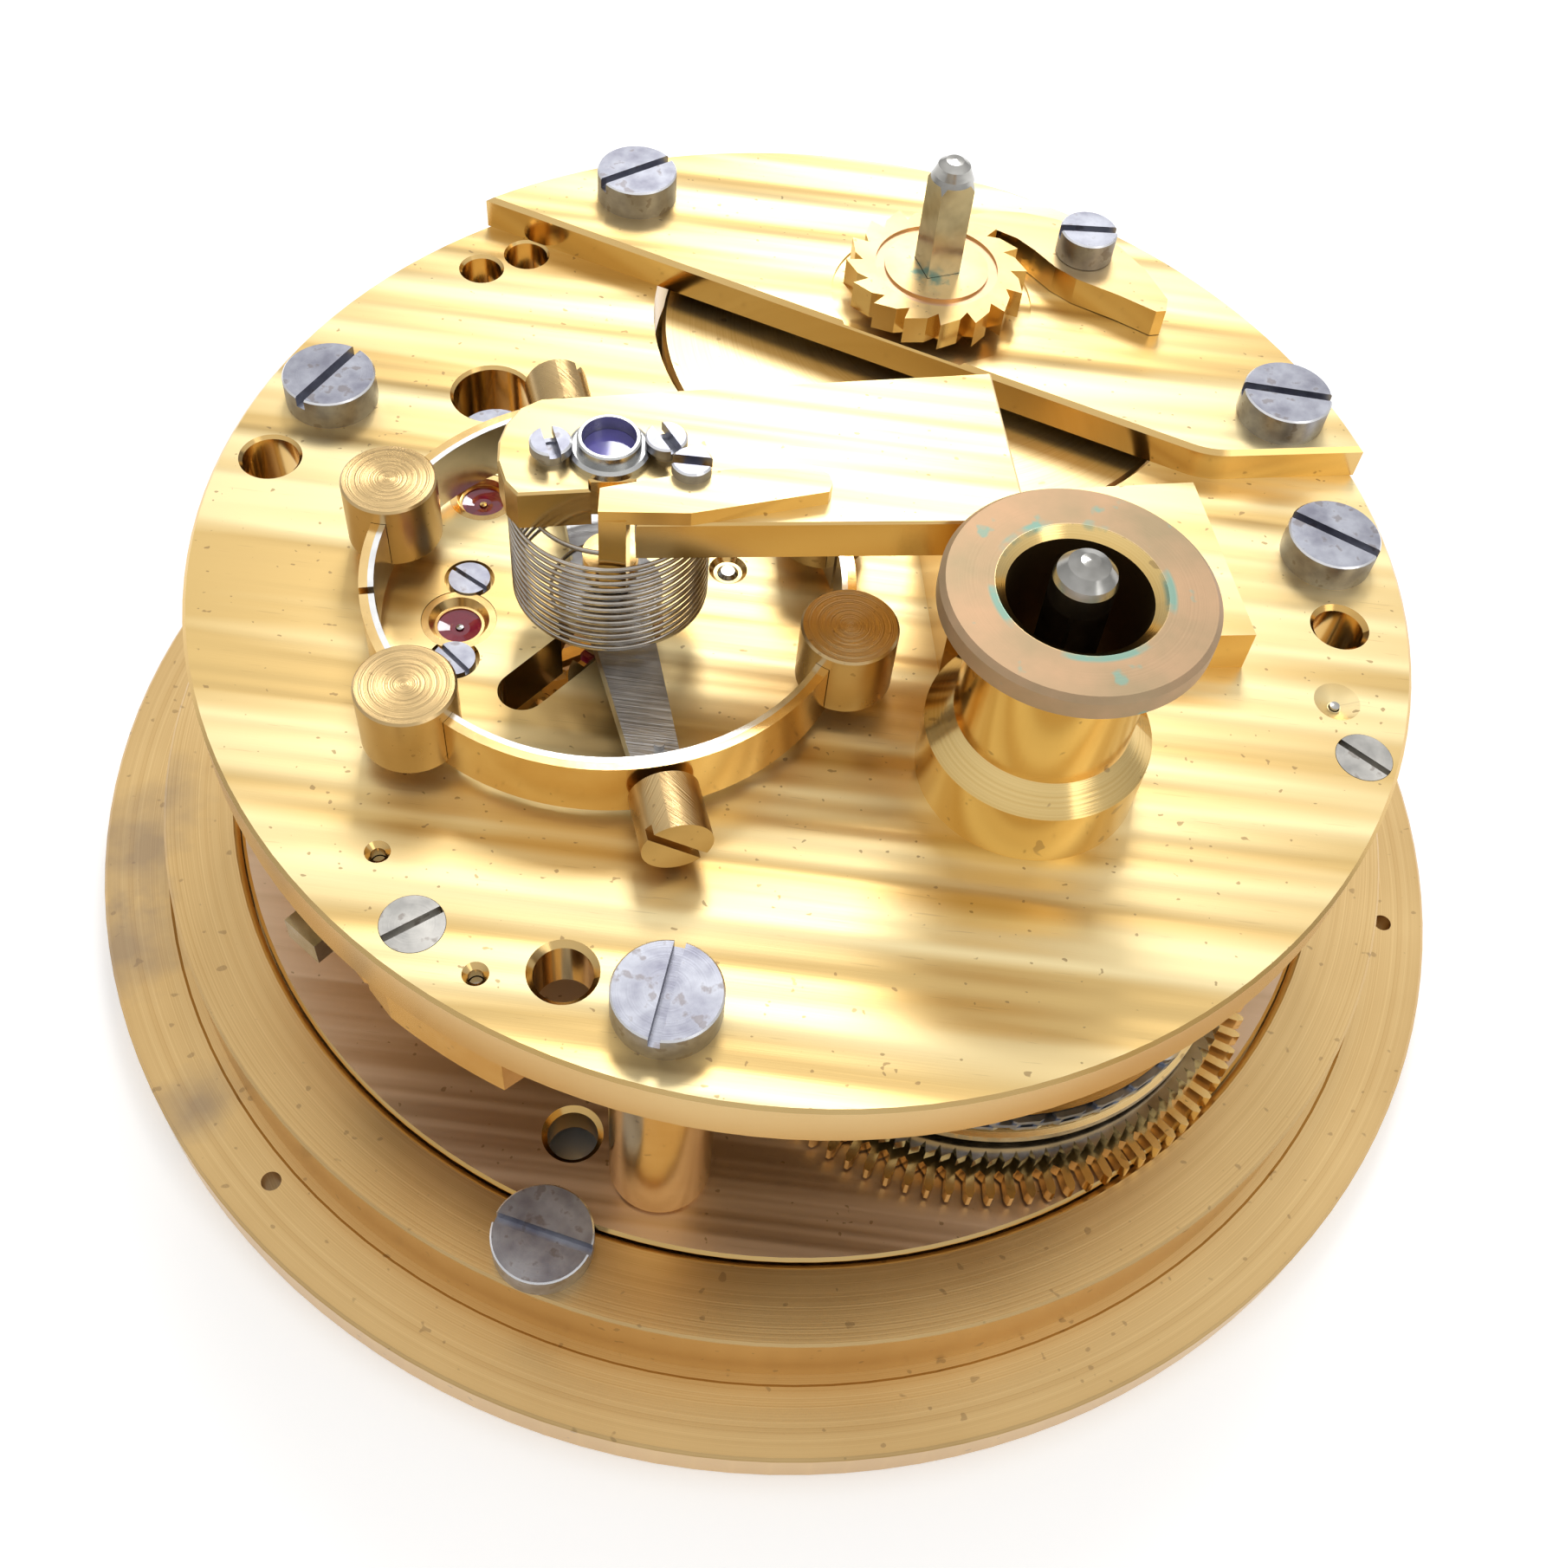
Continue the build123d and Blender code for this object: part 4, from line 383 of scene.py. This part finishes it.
cover_finish = turned_brass("cover_brass", BARREL, (0.80, 0.66, 0.38), (0.62, 0.47, 0.22), 0.22, 0.16)
dress(cover_finish, "barrel_cover", "barrel_drum")
dress(turned_brass("fusee_brass", FUSEE, (0.84, 0.62, 0.30), (0.72, 0.47, 0.18), 0.16), "fusee_cone")

# %% Dial ring, with its stains
ring_finish = turned_brass("ring_brass", CENTRE, (0.80, 0.57, 0.27), (0.55, 0.34, 0.13), 0.20, 0.10)
STAINS = ((-52.0, -14.0, 5.5), (-50.5, -23.5, 4.5), (-41.0, -36.0, 3.0))
ragged = ring_finish.noise((420.0, 420.0, 300.0), 4.0)
stain = 0.0
for east, north, size in STAINS:
    reach = ring_finish.radius((east, north)) / size + ragged * 1.1
    stain = (1.0 - reach.above(1.25, 1.1)) + stain
clean = ring_finish.shader.inputs["Base Color"].links[0].from_socket
STAIN_BROWN = (0.25, 0.19, 0.15)
ring_finish.set(Base_Color=ring_finish.mix(stain.clip() * 0.6, Value(ring_finish, clean), STAIN_BROWN))
dress(ring_finish, "dial_ring")
dress(lower_finish, "pillar_plate")
print("plates and ring dressed")

# %% [markdown]
# ## Polished brass
# Small parts were polished and have dulled a little: a warm colour, low roughness, and clouds of
# tarnish. The weights and nuts also keep the rings of the lathe on their ends, so their grain
# follows the distance from the nearest of their four axes.

# %% Polished brass
def polished_brass(name, pale, deep, rough):
    brass = Finish(name, Metallic=1.0)
    cloud = brass.noise((160.0, 160.0, 160.0), 4.0)
    fine = brass.noise((1500.0, 1500.0, 500.0), 2.0)
    colour = brass.mix(cloud.above(0.5, 0.45), deep, pale)
    specks = brass.noise((1900.0, 1900.0, 1900.0), 1.0).above(0.74, 0.03)
    brass.set(
        Base_Color=brass.mix(specks * 0.5, colour, TARNISH),
        Roughness=rough + 0.12 * cloud + 0.06 * fine,
    )
    brass.bump(fine, 0.004)
    return brass


dress(polished_brass("polished_brass", (0.90, 0.66, 0.31), (0.74, 0.47, 0.17), 0.10),
      "pillars", "jewel_settings", "spring_collet", "balance_rim_brass", "detent_foot")
dress(polished_brass("wheel_brass", (0.92, 0.70, 0.32), (0.78, 0.53, 0.20), 0.12),
      "great_wheel", "centre_wheel", "third_wheel", "fourth_wheel", "escape_wheel", "minute_wheel",
      "hour_wheel", "up_down_wheel")

# %% Weights and nuts
WEIGHT_CIRCLE = 17.0
WEIGHT_ANGLES = (163.8, 229.0, 348.9, 34.0)
weight_places = [(STAFF[0] + WEIGHT_CIRCLE * math.cos(math.radians(a)),
                  STAFF[1] + WEIGHT_CIRCLE * math.sin(math.radians(a))) for a in WEIGHT_ANGLES]
weight_finish = polished_brass("weight_brass", (0.66, 0.47, 0.23), (0.50, 0.34, 0.15), 0.20)
weight_radius = weight_finish.nearest(weight_places)
weight_rings = weight_finish.turned_grain(weight_radius, 0.12) * weight_finish.upward().above(0.8, 0.1)
weight_finish.bump(weight_rings, 0.07)
dress(weight_finish, "compensation_weights", "timing_nuts")

# %% [markdown]
# ## Ratchet wheel, click and winding tube
# The ratchet and click are finished brass with bright walls. The wheel's groove is pink where the lacquer
# wore off, and green verdigris has grown next to the square. The tube's flange is matt and pinkish from
# hands and keys, with spots of verdigris; its bore edge is left bright, and below it the inside of the
# bore is painted dark as shade.

# %% Ratchet and click
VERDIGRIS = (0.16, 0.36, 0.30)
ratchet_finish = polished_brass("ratchet_brass", (0.88, 0.66, 0.33), (0.70, 0.46, 0.18), 0.16)
wheel_radius = ratchet_finish.radius(BARREL)
top_face = ratchet_finish.upward().above(0.8, 0.1)
worn = wheel_radius.between(4.15, 5.0, 0.12) * top_face
mottle = ratchet_finish.noise((520.0, 520.0, 520.0), 4.0)
green = (1.0 - wheel_radius.above(2.9, 1.2)) * mottle.above(0.53, 0.12) * top_face
base = Value(ratchet_finish, ratchet_finish.shader.inputs["Base Color"].links[0].from_socket)
base = ratchet_finish.mix(worn * 0.8, base, (0.66, 0.40, 0.27))
base = ratchet_finish.mix(mottle.above(0.6, 0.1) * top_face * 0.3, base, (0.45, 0.33, 0.2))
ratchet_finish.set(Base_Color=ratchet_finish.mix(green * 0.8, base, VERDIGRIS),
                   Roughness=top_face * 0.18 + mottle * 0.1 + 0.14)
dress(ratchet_finish, "ratchet_wheel")
dress(grained_brass("click_brass", (0.86, 0.64, 0.33), (0.74, 0.50, 0.22), 420.0, 0.08), "ratchet_click")

# %% Winding tube
TUBE_TOP = 52.7
FLANGE_UNDER = TUBE_TOP - 1.9
tube_finish = turned_brass("tube_brass", FUSEE, (0.90, 0.67, 0.30), (0.70, 0.46, 0.15), 0.10, 0.12)
tube_height = tube_finish.along("Z") / MM
tube_radius = tube_finish.radius(FUSEE)
flange = tube_height.above(FLANGE_UNDER, 0.05) * tube_radius.above(5.25, 0.1)
patches = tube_finish.noise((230.0, 230.0, 230.0), 4.0, (1.7, 0.3, 0.9))
spots = tube_finish.noise((430.0, 430.0, 430.0), 3.0, (0.4, 2.2, 0.0)).above(0.66, 0.05)
rim_spots = patches.above(0.52, 0.08) * tube_radius.between(5.05, 5.7, 0.2)
base = Value(tube_finish, tube_finish.shader.inputs["Base Color"].links[0].from_socket)
matt = tube_finish.mix(patches.above(0.5, 0.4), (0.34, 0.25, 0.14), (0.52, 0.33, 0.19))
base = tube_finish.mix(flange, base, matt)
# painted shade: the inside of the bore, below its top edge, is darkened towards brown
bore_shade = (1.0 - tube_radius.above(4.6, 0.08)) * (1.0 - tube_height.above(TUBE_TOP - 0.65, 0.1))
base = tube_finish.mix(bore_shade * 0.75, base, (0.20, 0.12, 0.06))
green = (spots * 0.8 * flange + rim_spots).clip()
tube_finish.set(Base_Color=tube_finish.mix(green * 0.8, base, VERDIGRIS),
                Metallic=1.0 - flange * 0.35,
                Roughness=flange * 0.32 + bore_shade * 0.2 + patches * 0.12 + 0.10)
dress(tube_finish, "winding_tube")
print("tube flange above", FLANGE_UNDER, "mm")

# %% [markdown]
# ## Steel
# Screws were blued or left grey, and have gone patchy: brown and blue-grey clouds, fine scratches,
# and a bright line on the turned edge, which is found by how far its surface tilts. Arbors and the
# inside of the balance rim are bright. The arm is draw-filed, so its lines run across its length.

# %% Screws
SCREW_PLACES = ((-38.0, 9.9), (-5.1, -38.9), (39.0, 6.4), (-18.2, 35.6), (35.4, 18.3), (17.5, -1.0),
                (19.3, 32.1), (-12.35, -45.76), (-21.55, -35.3), (40.2, -12.65))


def screw_steel(name, pale, deep, rough=0.26):
    steel = Finish(name, Metallic=1.0)
    cloud = steel.noise((330.0, 330.0, 330.0), 5.0)
    patches = steel.noise((900.0, 900.0, 900.0), 3.0, (2.0, 0.0, 1.0))
    rings = steel.turned_grain(steel.nearest(SCREW_PLACES), 0.13)
    tilt = steel.upward()
    edge = tilt.between(0.35, 0.9, 0.1)
    colour = steel.mix((cloud * 0.8 + patches * 0.5 - 0.15).above(0.5, 0.35), deep, pale)
    colour = steel.mix(patches.above(0.62, 0.06) * 0.5, colour, (0.16, 0.12, 0.10))
    steel.set(
        Base_Color=steel.mix(edge, colour, (0.80, 0.80, 0.82)),
        Roughness=rough + 0.22 * cloud - 0.1 * edge,
    )
    steel.bump(rings * 0.6 + patches * 0.6, 0.010)
    return steel


dress(screw_steel("screw_steel", (0.44, 0.45, 0.50), (0.24, 0.24, 0.29)),
      "plate_screws", "dog_screws", "click_screw", "pillar_foot_screws", "small_screws")
dress(screw_steel("flat_screw_steel", (0.58, 0.56, 0.52), (0.36, 0.35, 0.33)), "flat_screws")

# %% Bright steel, arm and springs
def bright_steel(name, colour, dark, rough, scale=(700.0, 700.0, 700.0)):
    steel = Finish(name, Metallic=1.0)
    cloud = steel.noise((250.0, 250.0, 250.0), 3.0)
    fine = steel.noise(scale, 2.0)
    steel.set(Base_Color=steel.mix((cloud + fine * 0.6 - 0.3).above(0.5, 0.5), dark, colour),
              Roughness=rough + 0.12 * cloud + 0.08 * fine)
    steel.bump(fine, 0.006)
    return steel


dress(bright_steel("arbor_steel", (0.54, 0.53, 0.50), (0.28, 0.27, 0.25), 0.10),
      "fusee_arbor", "barrel_arbor", "centre_arbor", "escape_arbor", "balance_staff", "steady_pins",
      "maintaining_detent", "fusee_stop_arm", "balance_rollers", "cannon_pinion", "spring_detent",
      "maintaining_ratchet")
dress(bright_steel("rim_steel", (0.88, 0.88, 0.86), (0.70, 0.70, 0.70), 0.12), "balance_rim_steel")
dress(bright_steel("setting_steel", (0.62, 0.62, 0.60), (0.36, 0.36, 0.36), 0.16), "cap_jewel_setting")
dress(bright_steel("hand_blue", (0.07, 0.11, 0.34), (0.04, 0.06, 0.20), 0.18),
      "minute_hand", "hour_hand", "seconds_hand", "up_down_hand")

arm_steel = bright_steel("arm_steel", (0.60, 0.59, 0.58), (0.34, 0.33, 0.33), 0.22)
arm_turn = arm_steel.node("ShaderNodeMapping", {}, {"Vector": arm_steel.place,
                          "Rotation": (0.0, 0.0, math.radians(-20.3)), "Scale": (260.0, 5200.0, 300.0)})
filed = arm_steel.node("ShaderNodeTexNoise", {}, {"Vector": arm_turn, "Scale": 1.0, "Detail": 3.0})
arm_steel.bump(filed, 0.05)
dress(arm_steel, "balance_arm")

# %% Jewels and dial
def jewel(name, colour):
    """Clear coloured stone: light goes through it, tinted, and its faces shine."""
    stone = Finish(name, Roughness=0.04, IOR=1.77, Transmission_Weight=0.55, Metallic=0.0)
    depth = stone.noise((800.0, 800.0, 800.0), 1.0)
    stone.set(Base_Color=stone.mix(depth, colour, tuple(c * 0.6 for c in colour)))
    return stone


dress(jewel("ruby", (0.62, 0.03, 0.10)), "bearing_jewels", "impulse_stone")
dress(jewel("sapphire", (0.20, 0.16, 0.85)), "cap_jewel")

dial_finish = Finish("silvered_dial", Metallic=0.6)
dial_radius = dial_finish.radius(CENTRE)
dial_grain = dial_finish.noise((2600.0, 2600.0, 2600.0), 2.0)
track = dial_radius.between(43.6, 43.8, 0.04) + dial_radius.between(45.6, 45.8, 0.04)
dial_finish.set(Base_Color=dial_finish.mix(track.clip(), (0.78, 0.77, 0.73), (0.03, 0.03, 0.03)),
                Roughness=dial_grain * 0.2 + 0.35)
dress(dial_finish, "dial")
print("finishes given to", sum(1 for n in nodes.values() if n.data.materials), "of", len(nodes), "pieces")

# %% [markdown]
# ## Balance spring
# The chronometer's spring is a cylinder of thirteen turns whose end turns curve inwards, one to the
# stud on the cock and one to the collet on the staff. It is one path: the angle grows evenly, the
# height rises over the turns, and the radius shrinks smoothly in the two end curves.

# %% Balance spring
SPRING_TURNS = 13
COIL_RADIUS = 6.57
STUD_RADIUS = 5.25
COLLET_RADIUS = 2.0
STUD_ANGLE = math.radians(281.0)
SPRING_LOW = 38.80
SPRING_HIGH = 47.15
END_CURVE = 0.8
COLLET_RISE = 1.3


def spring_path(steps):
    """Centre line: angle t, height rising with t, radius eased inwards over each end curve."""
    turn = np.linspace(-END_CURVE, SPRING_TURNS + END_CURVE, steps)
    low_ease = np.clip(-turn / END_CURVE, 0.0, 1.0)
    high_ease = np.clip((turn - SPRING_TURNS) / END_CURVE, 0.0, 1.0)
    low_ease = low_ease ** 2 * (3.0 - 2.0 * low_ease)
    high_ease = high_ease ** 2 * (3.0 - 2.0 * high_ease)
    inward = low_ease * (COIL_RADIUS - COLLET_RADIUS) + high_ease * (COIL_RADIUS - STUD_RADIUS)
    radius = COIL_RADIUS - inward
    climb = np.clip(turn / SPRING_TURNS, 0.0, 1.0)
    height = SPRING_LOW + (SPRING_HIGH - SPRING_LOW) * climb + COLLET_RISE * low_ease
    angle = STUD_ANGLE + 2.0 * np.pi * (turn - SPRING_TURNS - END_CURVE)
    return np.stack([STAFF[0] + radius * np.cos(angle),
                     STAFF[1] + radius * np.sin(angle), height], axis=1) * MM


section_angle = np.linspace(0.0, 2.0 * np.pi, 8, endpoint=False) + np.pi / 8.0
wire = np.stack([0.115 * np.cos(section_angle), 0.21 * np.sin(section_angle)], axis=1) * MM
spring = grid_mesh("balance_spring_coils", tube_along(spring_path(1300), wire), capped=True)
spring_steel = bright_steel("spring_steel", (0.62, 0.57, 0.50), (0.34, 0.30, 0.26), 0.14)
spring.data.materials.append(spring_steel.material)
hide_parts("balance_spring")
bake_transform(spring)

# %% [markdown]
# ## Fusee chain
# The chain is riveted from flat plates that lie level: two outer plates, then one inner plate
# between them, and so on. Each plate is a flat oval prism. The pins are spaced evenly along the
# turns on the fusee, the straight run and the turns on the barrel, and a plate joins each two.

# %% Chain path
CHAIN_PITCH = 1.55
CHAIN_HIGH = 1.3
FUSEE_BASE = 14.6
LARGE, SMALL = 17.2, 9.0
DRUM = 20.4


def groove(turn):
    """Groove radius and middle height of a fusee turn, as in the CAD."""
    return LARGE / (1.0 + (LARGE / SMALL - 1.0) / 5.0 * turn), FUSEE_BASE + 0.9 + 2.0 * (turn + 0.5)


def ring_pins(centre, radius, height):
    """Pin places of one closed turn, and the turn's next pin for each."""
    count = 2 * round(math.pi * radius / CHAIN_PITCH)
    angle = 2.0 * np.pi * np.arange(count + 1) / count
    pins = np.stack([centre[0] + radius * np.cos(angle), centre[1] + radius * np.sin(angle),
                     np.full(count + 1, height)], axis=1)
    return pins[:-1], pins[1:]


def run_pins(first, last):
    """Pin places of a straight stretch."""
    count = 2 * round(np.linalg.norm(last - first) / CHAIN_PITCH / 2.0)
    pins = first + (last - first) * np.linspace(0.0, 1.0, count + 1)[:, None]
    return pins[:-1], pins[1:]


offset = 0.12 + 0.55
stretches = [ring_pins(FUSEE, groove(k)[0] + offset, groove(k)[1]) for k in range(3)]
stretches += [ring_pins(BARREL, DRUM + offset, groove(k)[1]) for k in (2, 3)]
small, level = groove(2)[0] + offset, groove(2)[1]
span = math.dist(FUSEE, BARREL)
lean = math.atan2(BARREL[1] - FUSEE[1], BARREL[0] - FUSEE[0]) - math.acos((small - DRUM - offset) / span)
side = np.array([math.cos(lean), math.sin(lean)])
stretches.append(run_pins(np.array([*(FUSEE + small * side), level]),
                          np.array([*(BARREL + (DRUM + offset) * side), level])))

# %% Chain plates
def plates(starts, ends, low, high, half_width):
    """Flat oval prisms from pin to pin: the oval's points are the pins plus a circle about each."""
    run = ends - starts
    length = np.linalg.norm(run, axis=1, keepdims=True)
    run = run / length
    across = np.stack([-run[:, 1], run[:, 0], np.zeros(len(run))], axis=1)
    bend = np.linspace(-np.pi / 2.0, np.pi / 2.0, 5)
    ends_on = np.concatenate([np.ones(5), np.zeros(5)])
    forward_part = np.concatenate([np.cos(bend), -np.cos(bend)]) * half_width
    across_part = np.concatenate([np.sin(bend), -np.sin(bend)]) * half_width
    outline = (starts[:, None] + run[:, None] * (ends_on * length + forward_part)[..., None]
               + across[:, None] * across_part[None, :, None])
    return np.stack([outline + [0, 0, low], outline + [0, 0, high]], axis=1)


def prism_faces(count, corners=10):
    """Quads round each prism, and one face for its floor and one for its top."""
    step = np.arange(corners)
    after = (step + 1) % corners
    walls = np.stack([step, after, after + corners, step + corners], axis=1)
    start = (np.arange(count) * 2 * corners)[:, None, None]
    faces = (start + walls[None]).reshape(-1, 4).tolist()
    faces += (start[:, 0] + step[::-1]).tolist()
    faces += (start[:, 0] + step + corners).tolist()
    return faces


starts = np.concatenate([first for first, _ in stretches])
ends = np.concatenate([last for _, last in stretches])
outer = np.arange(len(starts)) % 2 == 0
third = CHAIN_HIGH / 3.0
layers = [
    plates(starts[outer], ends[outer], -1.5 * third, -0.5 * third - 0.02, 0.5),
    plates(starts[outer], ends[outer], 0.5 * third + 0.02, 1.5 * third, 0.5),
    plates(starts[~outer], ends[~outer], -0.5 * third, 0.5 * third, 0.5),
]
chain_points = np.concatenate(layers).reshape(-1, 3) * MM
chain_mesh = bpy.data.meshes.new("chain_links")
chain_mesh.from_pydata(chain_points.tolist(), [], prism_faces(len(chain_points) // 20))
chain = bpy.data.objects.new("chain_links", chain_mesh)
bpy.context.scene.collection.objects.link(chain)
chain_steel = bright_steel("chain_steel", (0.42, 0.45, 0.52), (0.20, 0.22, 0.27), 0.22)
chain.data.materials.append(chain_steel.material)
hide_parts("fusee_chain")
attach(chain, "frame")
print("chain plates", len(chain_points) // 20)

# %% [markdown]
# ## Size
# The new pieces lie inside the solids that they stand for, so the object's box is the CAD's box.

# %% Size
print("scene built")
